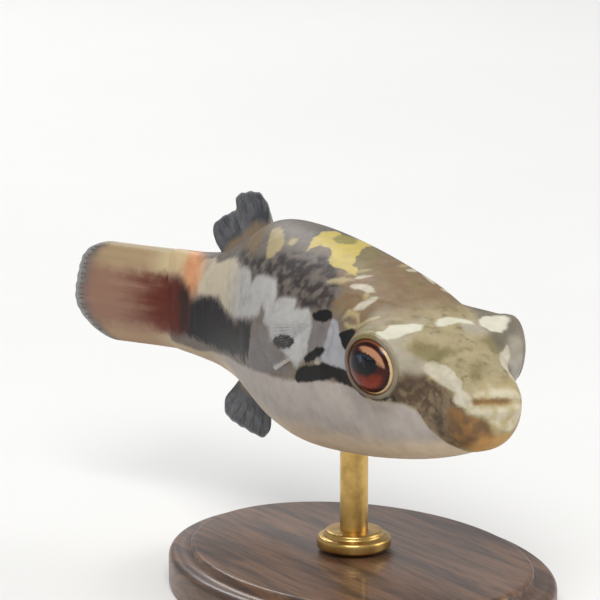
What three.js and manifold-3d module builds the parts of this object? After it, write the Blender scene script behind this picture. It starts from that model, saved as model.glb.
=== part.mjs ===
// A red-eyed dwarf puffer, life size, swimming on a small display stand.
//
// Millimetres, +Z up. The origin is the centre of the stand base's underside.
// The snout points to -Y and the tail to +Y, so the fish's left is +X.

import * as THREE from 'three';
import { mergeVertices } from 'three/addons/utils/BufferGeometryUtils.js';
import Module from 'manifold-3d';

const wasm = await Module();
wasm.setup();

// ---------------------------------------------------------------- driving sizes

const STANDARD_LENGTH = 44; // snout to the root of the tail fin
const AXIS_HEIGHT = 19.5; // body axis above the table
const BALANCE_STATION = 0.45; // part of the standard length that lies over the stand
const GAP = 0.3; // clearance between neighbouring pieces

const HEAD_TURN = 6; // degrees, head towards its right
const TAIL_TURN = -22; // degrees, tail towards its right
const HEAD_TURN_SPAN = [0.22, 0.5]; // stations over which the head's turn fades
const TAIL_TURN_SPAN = [0.68, 1.18];

const JAW_STATION = 0.036; // where the jaws meet the head
const GILL_STATION = 0.352; // where the head meets the trunk
const STALK_STATION = 0.86; // where the trunk meets the tail stalk
const RING_POINTS = 40;

// Station, back height, belly depth, half width (parts of the standard length),
// then how square the upper and the lower half of the section are.
const STATIONS = [
  [0.000, 0.000, 0.000, 0.000, 2.3, 2.2],
  [0.008, 0.032, 0.040, 0.044, 2.4, 2.3],
  [0.030, 0.049, 0.072, 0.063, 2.5, 2.4],
  [0.080, 0.073, 0.090, 0.080, 2.6, 2.4],
  [0.160, 0.110, 0.118, 0.112, 2.7, 2.3],
  [0.260, 0.141, 0.144, 0.131, 2.5, 2.2],
  [0.380, 0.170, 0.167, 0.143, 2.2, 2.1],
  [0.520, 0.193, 0.180, 0.149, 2.1, 2.1],
  [0.620, 0.203, 0.172, 0.128, 2.1, 2.1],
  [0.700, 0.196, 0.152, 0.102, 2.1, 2.1],
  [0.780, 0.155, 0.125, 0.078, 2.1, 2.1],
  [0.860, 0.113, 0.108, 0.056, 2.2, 2.2],
  [0.920, 0.099, 0.102, 0.041, 2.3, 2.3],
  [1.000, 0.094, 0.096, 0.022, 2.4, 2.4],
];

const EYE = {
  station: 0.18, // eye ring's centre
  side: { left: 5.8, right: 6.1 }, // from the midline
  height: 2.28, // above the body axis
  forward: { left: 7, right: 22 }, // degrees, how far each eye looks ahead
  down: 5, // degrees, how far they look down
  ring: 2.12, // radius of the visible eye
  radius: 2.25, // eyeball across its axis
  depth: 1.35, // eyeball along its axis, half
  rim: 2.3, // radius of the flat rim of skin round it
  skirt: 1.8, // width of the slope from that rim to the head
  reach: [2.4, 4.8], // depths below the rim over which the slope lets go
  lid: 0.2, // thickness of the skin over the eyeball
};

// The line between the jaws: its height above the axis, and how much higher its left end sits
// for each millimetre aside.
const MOUTH = { span: 6, gap: 0.34, rise: 0.6, tilt: -0.09 };

const BASE = { length: 36, width: 27, height: 3.6, bevel: 0.5 };
const ROD = { radius: 1.1, station: 0.47, socket: 2.0 };
const COLLAR = { outer: 2.9, height: 1.4, bevel: 0.35 };

// ---------------------------------------------------------------- small helpers

const rad = THREE.MathUtils.degToRad;
const fade = (x, from, to) => THREE.MathUtils.smoothstep(x, from, to);
const signedPower = (x, power) => Math.sign(x) * Math.abs(x) ** power;

// Smooth curve through column `column` of STATIONS.
function stationValue(column, s) {
  const last = STATIONS.length - 1;
  const x = THREE.MathUtils.clamp(s, 0, 1);
  let i = 0;
  while (i < last - 1 && x >= STATIONS[i + 1][0]) i += 1;
  const slope = (k) => {
    const a = STATIONS[Math.max(k - 1, 0)];
    const b = STATIONS[Math.min(k + 1, last)];
    return (b[column] - a[column]) / (b[0] - a[0]);
  };
  const [p, q] = [STATIONS[i], STATIONS[i + 1]];
  const h = q[0] - p[0];
  const t = (x - p[0]) / h;
  return (2 * t ** 3 - 3 * t ** 2 + 1) * p[column] + (t ** 3 - 2 * t ** 2 + t) * h * slope(i)
    + (3 * t ** 2 - 2 * t ** 3) * q[column] + (t ** 3 - t ** 2) * h * slope(i + 1);
}

// Direction of the body axis at station s: 0 is straight along Y.
function turnAt(s) {
  const head = HEAD_TURN * (1 - fade(s, ...HEAD_TURN_SPAN));
  const tail = TAIL_TURN * fade(s, ...TAIL_TURN_SPAN);
  return rad(head + tail);
}

// The body axis, walked in small steps from the snout to past the tail fin.
const SPINE_STEPS = 1400;
const SPINE_END = 1.4;
const spinePath = (() => {
  const path = [[0, 0]];
  const step = SPINE_END / SPINE_STEPS;
  for (let i = 1; i <= SPINE_STEPS; i += 1) {
    const turn = turnAt((i - 0.5) * step);
    const [x, y] = path[i - 1];
    path.push([x + Math.sin(turn) * step * STANDARD_LENGTH, y + Math.cos(turn) * step * STANDARD_LENGTH]);
  }
  const [bx, by] = path[Math.round(BALANCE_STATION / step)];
  return path.map(([x, y]) => [x - bx, y - by]);
})();

// A point beside the axis at station s: side to the fish's left, up, and ahead to the snout.
function place(s, side, up, ahead = 0) {
  const at = THREE.MathUtils.clamp(s / SPINE_END * SPINE_STEPS, 0, SPINE_STEPS - 1e-6);
  const i = Math.floor(at);
  const [p, q] = [spinePath[i], spinePath[i + 1]];
  const turn = turnAt(s);
  return new THREE.Vector3(
    THREE.MathUtils.lerp(p[0], q[0], at - i) + side * Math.cos(turn) - ahead * Math.sin(turn),
    THREE.MathUtils.lerp(p[1], q[1], at - i) - side * Math.sin(turn) - ahead * Math.cos(turn),
    AXIS_HEIGHT + up,
  );
}

function toGeometry(points, triangles) {
  const geometry = new THREE.BufferGeometry();
  geometry.setAttribute('position', new THREE.Float32BufferAttribute(points.flatMap((p) => p.toArray()), 3));
  geometry.setIndex(triangles);
  return geometry;
}

function toSolid(geometry) {
  const bare = geometry.clone();
  bare.deleteAttribute('normal');
  bare.deleteAttribute('uv');
  const merged = mergeVertices(bare, 1e-4);
  const index = merged.getIndex().array;
  const kept = [];
  for (let i = 0; i < index.length; i += 3) {
    const [a, b, c] = [index[i], index[i + 1], index[i + 2]];
    if (a !== b && b !== c && c !== a) kept.push(a, b, c);
  }
  const positions = new Float32Array(merged.getAttribute('position').array);
  return new wasm.Manifold(new wasm.Mesh({
    numProp: 3, vertProperties: positions, triVerts: new Uint32Array(kept),
  }));
}

function fromSolid(solid) {
  const mesh = solid.getMesh();
  const geometry = new THREE.BufferGeometry();
  geometry.setAttribute('position', new THREE.Float32BufferAttribute(mesh.vertProperties, 3));
  geometry.setIndex(Array.from(mesh.triVerts));
  geometry.computeVertexNormals();
  return geometry;
}

function finish(color, roughness, metalness = 0) {
  return new THREE.MeshStandardMaterial({ color, roughness, metalness });
}

// ---------------------------------------------------------------- eyes

// side is 1 for the left eye and -1 for the right one.
function eyeFrame(side) {
  const name = side > 0 ? 'left' : 'right';
  const [ahead, down] = [rad(EYE.forward[name]), rad(EYE.down)];
  const centre = place(EYE.station, side * EYE.side[name], EYE.height);
  const tip = place(
    EYE.station,
    side * (EYE.side[name] + Math.cos(ahead) * Math.cos(down)),
    EYE.height - Math.sin(down),
    Math.sin(ahead) * Math.cos(down),
  );
  return { centre, look: tip.sub(centre).normalize() };
}

const eyeFrames = { left: eyeFrame(1), right: eyeFrame(-1) };

// Turns a shape made round +Y to look along the eye's axis, raised along it from the ring's centre.
function setInOrbit(geometry, side, raise) {
  const { centre, look } = eyeFrames[side];
  geometry.applyQuaternion(new THREE.Quaternion().setFromUnitVectors(new THREE.Vector3(0, 1, 0), look));
  geometry.translate(...centre.clone().addScaledVector(look, raise).toArray());
  return toSolid(geometry);
}

function eyeball(side, grow) {
  const ringDepth = EYE.depth * Math.sqrt(1 - (EYE.ring / EYE.radius) ** 2);
  const geometry = new THREE.SphereGeometry(1, 20, 12);
  geometry.scale(EYE.radius + grow, EYE.depth + grow, EYE.radius + grow);
  return setInOrbit(geometry, side, -ringDepth);
}

// The bulge of skin round an eyeball, cut flat at the eye ring.
function orbit(side) {
  const cutter = new THREE.CylinderGeometry(2 * EYE.radius, 2 * EYE.radius, 2 * EYE.depth, 12);
  return eyeball(side, GAP + EYE.lid).subtract(setInOrbit(cutter, side, EYE.depth));
}

// Skin near an eye is drawn out to a flat rim that lies in the plane of the eye ring.
function raiseOrbit(point) {
  for (const { centre, look } of Object.values(eyeFrames)) {
    const offset = point.clone().sub(centre);
    const height = offset.dot(look);
    const fromAxis = Math.sqrt(Math.max(offset.lengthSq() - height ** 2, 0));
    const near = 1 - fade(fromAxis, EYE.rim, EYE.rim + EYE.skirt);
    const shallow = 1 - fade(-height, ...EYE.reach);
    point.addScaledVector(look, -height * near * shallow);
  }
  return point;
}

// ---------------------------------------------------------------- body

// A point of the skin at station s, angle round from the back, and grow outwards.
function skinPoint(s, angle, grow) {
  const [c, n] = [Math.cos(angle), Math.sin(angle)];
  const square = stationValue(c > 0 ? 4 : 5, s);
  const height = stationValue(c > 0 ? 1 : 2, s) * STANDARD_LENGTH + grow;
  const width = stationValue(3, s) * STANDARD_LENGTH + grow;
  return raiseOrbit(place(s, width * signedPower(n, 2 / square), height * signedPower(c, 2 / square)));
}

// The body between two stations, closed flat at both ends, or to a point at the snout.
function bodyLength(from, to, rings, grow = 0) {
  const points = [];
  const triangles = [];
  for (let i = 0; i <= rings; i += 1) {
    const t = i / rings;
    const s = from === 0 ? to * t ** 2 : THREE.MathUtils.lerp(from, to, t);
    for (let j = 0; j < RING_POINTS; j += 1) {
      points.push(skinPoint(s, (j / RING_POINTS) * 2 * Math.PI, grow));
    }
  }
  for (let i = 0; i < rings; i += 1) {
    for (let j = 0; j < RING_POINTS; j += 1) {
      const [a, b] = [i * RING_POINTS + j, i * RING_POINTS + (j + 1) % RING_POINTS];
      triangles.push(a, b, a + RING_POINTS, b, b + RING_POINTS, a + RING_POINTS);
    }
  }
  const front = points.push(place(from, 0, 0)) - 1;
  const back = points.push(place(to, 0, 0)) - 1;
  for (let j = 0; j < RING_POINTS; j += 1) {
    const next = (j + 1) % RING_POINTS;
    const end = rings * RING_POINTS;
    triangles.push(front, next, j, back, end + j, end + next);
  }
  return toSolid(toGeometry(points, triangles));
}

const halfCut = GAP / 2 / STANDARD_LENGTH;

// All that lies above (sign 1) or below (sign -1) the line of the mouth.
function jawTool(sign) {
  const { span, gap, rise, tilt } = MOUTH;
  const edge = rise + (sign * gap) / 2;
  const outline = new THREE.Shape();
  outline.moveTo(-span, edge - span * tilt);
  outline.lineTo(span, edge + span * tilt);
  outline.lineTo(span, sign * span);
  outline.lineTo(-span, sign * span);
  outline.closePath();
  const geometry = new THREE.ExtrudeGeometry(outline, { depth: span, bevelEnabled: false });
  geometry.rotateX(Math.PI / 2);
  geometry.rotateZ(-turnAt(0));
  geometry.translate(...place(0, 0, 0, -span / 2).toArray());
  return toSolid(geometry);
}

const headSolid = bodyLength(JAW_STATION + halfCut, GILL_STATION - halfCut, 18)
  .add(orbit('left'))
  .add(orbit('right'))
  .subtract(eyeball('left', GAP))
  .subtract(eyeball('right', GAP));
const trunkSolid = bodyLength(GILL_STATION + halfCut, STALK_STATION - halfCut, 16);
const stalkSolid = bodyLength(STALK_STATION + halfCut, 1, 6);

const muzzle = bodyLength(0, JAW_STATION - halfCut, 7);
const jaw = (sign) => muzzle.intersect(jawTool(sign));

// The body and a little more, for trimming what stands on it.
const trunkClearance = bodyLength(GILL_STATION - 0.05, STALK_STATION + 0.04, 18, GAP);
const stalkClearance = bodyLength(STALK_STATION - 0.02, 1 + GAP / STANDARD_LENGTH, 8, GAP);

// ---------------------------------------------------------------- fins

// A fin is a fan of rays. ray(u) gives the root and the tip of the ray at u, the direction across
// the fin, and body: how much of the root's extra thickness that ray has.
function fin({ ray, rays, steps, rootThickness, rimThickness }) {
  const points = [];
  const triangles = [];
  const sheet = (sign) => {
    for (let i = 0; i <= rays; i += 1) {
      const { root, tip, across, body = 1 } = ray(i / rays);
      for (let j = 0; j <= steps; j += 1) {
        const v = j / steps;
        const half = THREE.MathUtils.lerp(rimThickness, rootThickness, body * (1 - v ** 0.7)) / 2;
        points.push(root.clone().lerp(tip, v).addScaledVector(across, sign * half));
      }
    }
  };
  sheet(1);
  sheet(-1);
  const other = (rays + 1) * (steps + 1);
  const at = (i, j) => i * (steps + 1) + j;
  const quad = (a, b, c, d) => triangles.push(a, b, c, a, c, d);
  for (let i = 0; i < rays; i += 1) {
    for (let j = 0; j < steps; j += 1) {
      quad(at(i, j), at(i + 1, j), at(i + 1, j + 1), at(i, j + 1));
      quad(other + at(i, j), other + at(i, j + 1), other + at(i + 1, j + 1), other + at(i + 1, j));
    }
    quad(at(i, 0), other + at(i, 0), other + at(i + 1, 0), at(i + 1, 0));
    quad(at(i, steps), at(i + 1, steps), other + at(i + 1, steps), other + at(i, steps));
  }
  for (let j = 0; j < steps; j += 1) {
    quad(at(0, j), at(0, j + 1), other + at(0, j + 1), other + at(0, j));
    quad(at(rays, j), other + at(rays, j), other + at(rays, j + 1), at(rays, j + 1));
  }
  const solid = toSolid(toGeometry(points, triangles));
  if (solid.volume() > 0) return solid;
  return toSolid(toGeometry(points, triangles.reverse()));
}

const TAIL = {
  root: 0.98, rootHalf: 4.12, tipHalf: 4.22, sideLength: 7.6, midLength: 11.5, drop: 0.28,
};

function tailRay(u) {
  const spread = 2 * u - 1;
  const reach = TAIL.sideLength
    + (TAIL.midLength - TAIL.sideLength) * (1 - Math.abs(spread) ** 3) ** (2 / 3);
  const tipStation = TAIL.root + reach / STANDARD_LENGTH;
  return {
    root: place(TAIL.root, 0, spread * TAIL.rootHalf),
    tip: place(tipStation, 0, spread * TAIL.tipHalf - TAIL.drop),
    across: place(TAIL.root, 1, 0).sub(place(TAIL.root, 0, 0)),
    body: 1 - Math.abs(spread) ** 3,
  };
}

// Upright fins on the back and under the belly: the stations they stand on, and the outline of
// their free edge, front to back, as distances from the snout and above the body axis.
const DORSAL = {
  from: 0.722, to: 0.868, sink: 0.7, side: 1, sway: 0.45,
  edge: [[32.4, 8.6], [33.1, 9.5], [34.2, 10.3], [35.4, 10.2], [36.8, 9.8], [37.6, 9.3],
    [37.4, 8.3], [38.5, 7.9], [39.9, 7.1], [40.3, 6.4], [39.8, 5.6], [38.8, 4.9]],
};
const ANAL = {
  from: 0.740, to: 0.82, sink: 0.7, side: -1, sway: -0.4,
  edge: [[32.4, -7.4], [32.4, -9.1], [33.2, -9.75], [34.9, -9.3], [36.8, -9.1], [38.3, -8.8],
    [38.5, -7.7], [38.1, -7.0], [37.2, -6.7], [35.8, -6.5]],
};

// Points evenly spaced along a smooth line through the outline, kept a little inside its corners.
function edgeLine(corners, count) {
  let points = corners.map(([x, y]) => new THREE.Vector2(x, y));
  for (let round = 0; round < 3; round += 1) {
    const cut = [points[0]];
    for (let i = 0; i + 1 < points.length; i += 1) {
      cut.push(points[i].clone().lerp(points[i + 1], 0.25), points[i].clone().lerp(points[i + 1], 0.75));
    }
    points = [...cut, points[points.length - 1]];
  }
  const path = new THREE.Path(points);
  return path.getSpacedPoints(count);
}

function medianFin(shape, rays) {
  const edge = edgeLine(shape.edge, rays);
  const ray = (u) => {
    const s = THREE.MathUtils.lerp(shape.from, shape.to, u);
    const surface = stationValue(shape.side > 0 ? 1 : 2, s) * STANDARD_LENGTH - shape.sink;
    const { x, y } = edge[Math.round(u * rays)];
    return {
      root: place(s, 0, shape.side * surface),
      tip: place(x / STANDARD_LENGTH, shape.sway * Math.sin(Math.PI * u), y),
      across: place(s, 1, 0).sub(place(s, 0, 0)),
    };
  };
  return fin({ ray, rays, steps: 3, ...FIN_THICKNESS })
    .subtract(trunkClearance)
    .subtract(stalkClearance);
}

// Paired fins behind the gill openings, spread and held a little away from the flanks.
const PECTORAL = {
  station: 0.405, angle: 70, rootHeight: 1.6, sink: 0.45, length: 4.6, edgeLength: 3.7,
  right: { upTilt: -4, downTilt: -36, outTilt: 24 },
  left: { upTilt: 2, downTilt: -36, outTilt: 22 },
};

function pectoralRay(side, u) {
  const sign = side === 'left' ? 1 : -1;
  const centre = skinPoint(PECTORAL.station, sign * rad(PECTORAL.angle), -PECTORAL.sink);
  const turn = turnAt(PECTORAL.station);
  const { upTilt, downTilt, outTilt } = PECTORAL[side];
  const out = sign * rad(outTilt);
  const tilt = rad(THREE.MathUtils.lerp(upTilt, downTilt, u));
  const back = new THREE.Vector3(Math.sin(turn + out), Math.cos(turn + out), 0);
  const length = PECTORAL.sink
    + PECTORAL.edgeLength + (PECTORAL.length - PECTORAL.edgeLength) * Math.sin(Math.PI * u);
  const root = centre.clone().add(new THREE.Vector3(0, 0, (0.5 - u) * PECTORAL.rootHeight));
  const tip = root.clone()
    .addScaledVector(back, length * Math.cos(tilt))
    .add(new THREE.Vector3(0, 0, length * Math.sin(tilt)));
  return { root, tip, across: new THREE.Vector3(back.y, -back.x, 0) };
}

const FIN_THICKNESS = { rootThickness: 1.0, rimThickness: 0.55 };

const tailFinSolid = fin({ ray: tailRay, rays: 20, steps: 5, rootThickness: 1.7, rimThickness: 0.55 })
  .subtract(stalkClearance);
const dorsalSolid = medianFin(DORSAL, 18);
const analSolid = medianFin(ANAL, 16);
const pectoralSolid = (side) => fin({
  ray: (u) => pectoralRay(side, u), rays: 12, steps: 3, ...FIN_THICKNESS,
}).subtract(trunkClearance);

// ---------------------------------------------------------------- stand

function standBase() {
  const outline = new THREE.Shape();
  outline.absellipse(0, 0, BASE.width / 2 - BASE.bevel, BASE.length / 2 - BASE.bevel, 0, 2 * Math.PI);
  const plate = new THREE.ExtrudeGeometry(outline, {
    depth: BASE.height - 2 * BASE.bevel,
    bevelThickness: BASE.bevel,
    bevelSize: BASE.bevel,
    bevelSegments: 2,
    curveSegments: 24,
  });
  plate.translate(0, 0, BASE.bevel);
  const hole = new THREE.CylinderGeometry(ROD.radius + GAP, ROD.radius + GAP, ROD.socket + 1, 28);
  hole.rotateX(Math.PI / 2);
  const rodAt = place(ROD.station, 0, 0);
  hole.translate(rodAt.x, rodAt.y, BASE.height - ROD.socket + (ROD.socket + 1) / 2);
  return toSolid(plate).subtract(toSolid(hole));
}

function standRod() {
  const foot = BASE.height - ROD.socket + GAP;
  const top = AXIS_HEIGHT - 2;
  const rod = new THREE.CylinderGeometry(ROD.radius, ROD.radius, top - foot, 28);
  rod.rotateX(Math.PI / 2);
  const at = place(ROD.station, 0, 0);
  rod.translate(at.x, at.y, (top + foot) / 2);
  return toSolid(rod).subtract(trunkClearance);
}

function standCollar() {
  const inner = ROD.radius + GAP;
  const { outer, height, bevel } = COLLAR;
  const profile = [
    new THREE.Vector2(inner, 0), new THREE.Vector2(outer, 0),
    new THREE.Vector2(outer, height - bevel), new THREE.Vector2(outer - bevel, height),
    new THREE.Vector2(inner, height), new THREE.Vector2(inner, 0),
  ];
  const ring = new THREE.LatheGeometry(profile, 32);
  ring.rotateX(Math.PI / 2);
  const at = place(ROD.station, 0, 0);
  ring.translate(at.x, at.y, BASE.height + GAP);
  return toSolid(ring);
}

// ---------------------------------------------------------------- the model

const SKIN = finish(0x8d8068, 0.5);
const FLANK = finish(0x8c8780, 0.5);
const LIP = finish(0xbfae7c, 0.5);
const EYE_RED = finish(0x6b1a0c, 0.15);
const TAIL_WEB = finish(0x9a6a52, 0.55);
const GREY_WEB = finish(0x5a5f66, 0.5);
const CLEAR_WEB = finish(0xb4b2ae, 0.4);
const BASE_FINISH = finish(0x1d1c1b, 0.3);
const METAL = finish(0xb08d4a, 0.3, 1);

const group = new THREE.Group();

function add(name, solid, material) {
  const mesh = new THREE.Mesh(fromSolid(solid), material);
  mesh.name = name;
  group.add(mesh);
}

add('head', headSolid, SKIN);
add('upper_jaw', jaw(1), LIP);
add('lower_jaw', jaw(-1), LIP);
add('trunk', trunkSolid, FLANK);
add('tail_stalk', stalkSolid, FLANK);
add('tail_fin', tailFinSolid, TAIL_WEB);
add('dorsal_fin', dorsalSolid, GREY_WEB);
add('anal_fin', analSolid, GREY_WEB);
add('pectoral_fin_left', pectoralSolid('left'), CLEAR_WEB);
add('pectoral_fin_right', pectoralSolid('right'), CLEAR_WEB);
add('eye_left', eyeball('left', 0), EYE_RED);
add('eye_right', eyeball('right', 0), EYE_RED);
add('stand_base', standBase(), BASE_FINISH);
add('stand_rod', standRod(), METAL);
add('stand_collar', standCollar(), METAL);

export default group;
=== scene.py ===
"""A red-eyed dwarf puffer, life size, on its display stand: skin, eyes, fins, stand and studio.

Sizes are millimetres in the model's own frame (snout towards -Y, fish's left +X, up +Z),
and turn to metres where a mesh is made.
"""

import functools
import math

import bmesh
import bpy
import numpy as np
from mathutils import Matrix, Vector


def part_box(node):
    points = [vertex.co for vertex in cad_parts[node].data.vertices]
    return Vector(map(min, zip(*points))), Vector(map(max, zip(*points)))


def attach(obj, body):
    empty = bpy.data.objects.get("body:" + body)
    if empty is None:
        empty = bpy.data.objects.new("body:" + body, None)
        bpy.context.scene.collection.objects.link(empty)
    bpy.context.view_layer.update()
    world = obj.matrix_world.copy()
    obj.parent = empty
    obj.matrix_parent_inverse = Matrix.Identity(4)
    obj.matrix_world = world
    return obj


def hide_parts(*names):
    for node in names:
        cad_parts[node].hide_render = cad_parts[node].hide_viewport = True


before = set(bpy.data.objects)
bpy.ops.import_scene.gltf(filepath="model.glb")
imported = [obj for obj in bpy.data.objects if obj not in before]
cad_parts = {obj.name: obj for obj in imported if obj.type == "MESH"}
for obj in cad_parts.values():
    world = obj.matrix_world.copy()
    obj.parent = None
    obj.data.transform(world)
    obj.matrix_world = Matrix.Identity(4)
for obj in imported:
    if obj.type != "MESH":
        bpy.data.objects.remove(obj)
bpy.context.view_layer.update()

MM = 0.001

# ---------------- body sizes, as in the solids

STANDARD_LENGTH = 44.0  # snout to the root of the tail fin
AXIS_HEIGHT = 19.5  # body axis above the table
BALANCE_STATION = 0.45
HEAD_TURN = 6.0  # degrees, towards the fish's right
TAIL_TURN = -22.0
HEAD_TURN_SPAN = (0.22, 0.5)
TAIL_TURN_SPAN = (0.68, 1.18)

# Station, back height, belly depth, half width (parts of the standard length),
# then how square the upper and the lower half of the section are.
STATIONS = np.array([
    (0.000, 0.000, 0.000, 0.000, 2.3, 2.2),
    (0.008, 0.032, 0.040, 0.044, 2.4, 2.3),
    (0.030, 0.049, 0.072, 0.063, 2.5, 2.4),
    (0.080, 0.073, 0.090, 0.080, 2.6, 2.4),
    (0.160, 0.110, 0.118, 0.112, 2.7, 2.3),
    (0.260, 0.141, 0.144, 0.131, 2.5, 2.2),
    (0.380, 0.170, 0.167, 0.143, 2.2, 2.1),
    (0.520, 0.193, 0.180, 0.149, 2.1, 2.1),
    (0.620, 0.203, 0.172, 0.128, 2.1, 2.1),
    (0.700, 0.196, 0.152, 0.102, 2.1, 2.1),
    (0.780, 0.155, 0.125, 0.078, 2.1, 2.1),
    (0.860, 0.113, 0.108, 0.056, 2.2, 2.2),
    (0.920, 0.099, 0.102, 0.041, 2.3, 2.3),
    (1.000, 0.094, 0.096, 0.022, 2.4, 2.4),
])
BACK, BELLY, HALF_WIDTH, SQUARE_TOP, SQUARE_BOTTOM = range(1, 6)

EYE_STATION = 0.180
EYE_SIDE = {1: 5.8, -1: 6.1}  # from the midline, left and right
EYE_HEIGHT = 2.28
EYE_FORWARD = {1: 7.0, -1: 22.0}  # degrees ahead, left and right
EYE_DOWN = 5.0
EYE_RING = 2.12  # radius of the visible eye
EYE_RADIUS = 2.25  # eyeball across its axis
EYE_DEPTH = 1.35  # eyeball along its axis, half
ORBIT_RIM = 2.3  # skin is drawn out to the eye's plane inside this radius
ORBIT_SKIRT = 1.8
ORBIT_REACH = (2.4, 4.8)
ORBIT_SKIN = 0.4  # skin over the eyeball

# ---------------- small sums

TINY = 1e-6


def smooth(x, start, stop):
    """0 before start, 1 after stop, and an even slope between."""
    t = np.clip((np.asarray(x, float) - start) / (stop - start), 0, 1)
    return t * t * (3 - 2 * t)


def hump(x, centre, width):
    """1 at the centre, falling away on both sides."""
    return np.exp(-(((x - centre) / width) ** 2))


def mixed(a, b, share):
    return a + (b - a) * share


def signed_power(x, power):
    return np.sign(x) * np.abs(x) ** power


def unit(vector):
    return vector / np.linalg.norm(vector, axis=-1, keepdims=True)


def full_turn(count):
    """Even angles all the way round."""
    return np.arange(count) * 2 * np.pi / count


def lengths(points):
    """How long each piece of a line of points is."""
    return np.linalg.norm(np.diff(points, axis=0), axis=1)


def running(steps):
    """The distance walked at the start and after each step."""
    return np.concatenate([[0], np.cumsum(steps)])


# ---------------- body shape

AXIS_END = 1.4  # station, past the tip of the tail fin
AXIS_STEPS = 1400
LOCATE_ROUNDS = 6


def station_value(column, s):
    """Smooth curve through one column of STATIONS."""
    knots, values = STATIONS[:, 0], STATIONS[:, column]
    slopes = np.empty(len(knots))
    slopes[1:-1] = (values[2:] - values[:-2]) / (knots[2:] - knots[:-2])
    slopes[0] = (values[1] - values[0]) / (knots[1] - knots[0])
    slopes[-1] = (values[-1] - values[-2]) / (knots[-1] - knots[-2])
    s = np.clip(s, 0, 1)
    i = np.clip(np.searchsorted(knots, s, side="right") - 1, 0, len(knots) - 2)
    h = knots[i + 1] - knots[i]
    t = (s - knots[i]) / h
    start = (2 * t**3 - 3 * t**2 + 1) * values[i] + (t**3 - 2 * t**2 + t) * h * slopes[i]
    stop = (3 * t**2 - 2 * t**3) * values[i + 1] + (t**3 - t**2) * h * slopes[i + 1]
    return start + stop


def turn_at(s):
    """Heading of the body axis at a station; 0 is straight along Y."""
    head = HEAD_TURN * (1 - smooth(s, *HEAD_TURN_SPAN))
    tail = TAIL_TURN * smooth(s, *TAIL_TURN_SPAN)
    return np.radians(head + tail)


def walk_axis():
    """The body axis from the snout to past the tail fin: stations, x and y."""
    stations = np.linspace(0, AXIS_END, AXIS_STEPS + 1)
    middle = turn_at((stations[1:] + stations[:-1]) / 2)
    stride = STANDARD_LENGTH * AXIS_END / AXIS_STEPS
    x, y = running(np.sin(middle) * stride), running(np.cos(middle) * stride)
    x -= np.interp(BALANCE_STATION, stations, x)
    y -= np.interp(BALANCE_STATION, stations, y)
    return stations, x, y


AXIS = walk_axis()


def place(s, side, up, ahead=0.0):
    """Points beside the axis: side to the fish's left, up, and ahead to the snout."""
    stations, x, y = AXIS
    turn = turn_at(s)
    return np.stack(np.broadcast_arrays(
        np.interp(s, stations, x) + side * np.cos(turn) - ahead * np.sin(turn),
        np.interp(s, stations, y) - side * np.sin(turn) - ahead * np.cos(turn),
        AXIS_HEIGHT + np.asarray(up, float),
    ), -1)


def section(s, upper):
    """How square, how high and how wide to one side the body is, above or below its axis."""
    square = np.where(upper, station_value(SQUARE_TOP, s), station_value(SQUARE_BOTTOM, s))
    height = np.where(upper, station_value(BACK, s), station_value(BELLY, s)) * STANDARD_LENGTH
    return square, height, station_value(HALF_WIDTH, s) * STANDARD_LENGTH


def ring_point(s, angle):
    """Side and up of the skin at a station; angle is 0 on the back and grows to the left."""
    c, n = np.cos(angle), np.sin(angle)
    square, height, width = section(s, c > 0)
    return width * signed_power(n, 2 / square), height * signed_power(c, 2 / square)


def angle_round(s, side, up):
    """Angle round the body in degrees: 0 on the back, 180 under the belly, left is plus."""
    square, height, width = section(s, up > 0)
    across = signed_power(side / (width + TINY), square / 2)
    rise = signed_power(up / (height + TINY), square / 2)
    return np.degrees(np.arctan2(across, rise))


def locate(points):
    """Station, side and up of points near the body."""
    stations, x, y = AXIS
    s = np.clip((points[:, 1] - place(0, 0, 0)[1]) / STANDARD_LENGTH, 0, 1.3)
    for _ in range(LOCATE_ROUNDS):
        turn = turn_at(s)
        off_x = points[:, 0] - np.interp(s, stations, x)
        off_y = points[:, 1] - np.interp(s, stations, y)
        s = s + (off_x * np.sin(turn) + off_y * np.cos(turn)) / STANDARD_LENGTH
    side = off_x * np.cos(turn) - off_y * np.sin(turn)
    return s, side, points[:, 2] - AXIS_HEIGHT


# ---------------- eye frames


class EyeFrame:
    """Where an eye sits: the centre of its ring, the way it looks, and its own up and aside."""

    def __init__(self, sign):
        ahead, down = math.radians(EYE_FORWARD[sign]), math.radians(EYE_DOWN)
        outwards = math.cos(ahead) * math.cos(down)
        forwards = math.sin(ahead) * math.cos(down)
        self.sign = sign
        self.centre = place(EYE_STATION, sign * EYE_SIDE[sign], EYE_HEIGHT)
        tip = place(EYE_STATION, sign * (EYE_SIDE[sign] + outwards),
                    EYE_HEIGHT - math.sin(down), forwards)
        self.look = unit(tip - self.centre)
        self.aside = unit(np.cross([0.0, 0.0, 1.0], self.look))
        self.up = np.cross(self.look, self.aside)

    def measure(self, points):
        """Height above the ring's plane and distance from the looking axis."""
        offset = points - self.centre
        height = offset @ self.look
        flat = offset - height[:, None] * self.look
        return height, np.linalg.norm(flat, axis=1)

    def fore(self, points):
        """How far points lie from the looking axis towards the snout."""
        return -self.sign * ((points - self.centre) @ self.aside)

    def spin(self, radius, height, around):
        """A point at that radius, height and turn about the looking axis."""
        return (
            self.centre
            + np.multiply.outer(height, self.look)
            + (radius * np.cos(around))[..., None] * self.aside
            + (radius * np.sin(around))[..., None] * self.up
        )


EYES = {"left": EyeFrame(1), "right": EyeFrame(-1)}
RING_DEPTH = EYE_DEPTH * math.sqrt(1 - (EYE_RING / EYE_RADIUS) ** 2)

# ---------------- meshes


def add_object(name, data):
    piece = bpy.data.objects.new(name, data)
    bpy.context.scene.collection.objects.link(piece)
    return piece


def add_attribute(mesh, name, values):
    attribute = mesh.attributes.new(name, "FLOAT", "POINT")
    attribute.data.foreach_set("value", np.asarray(values, np.float32))


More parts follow.
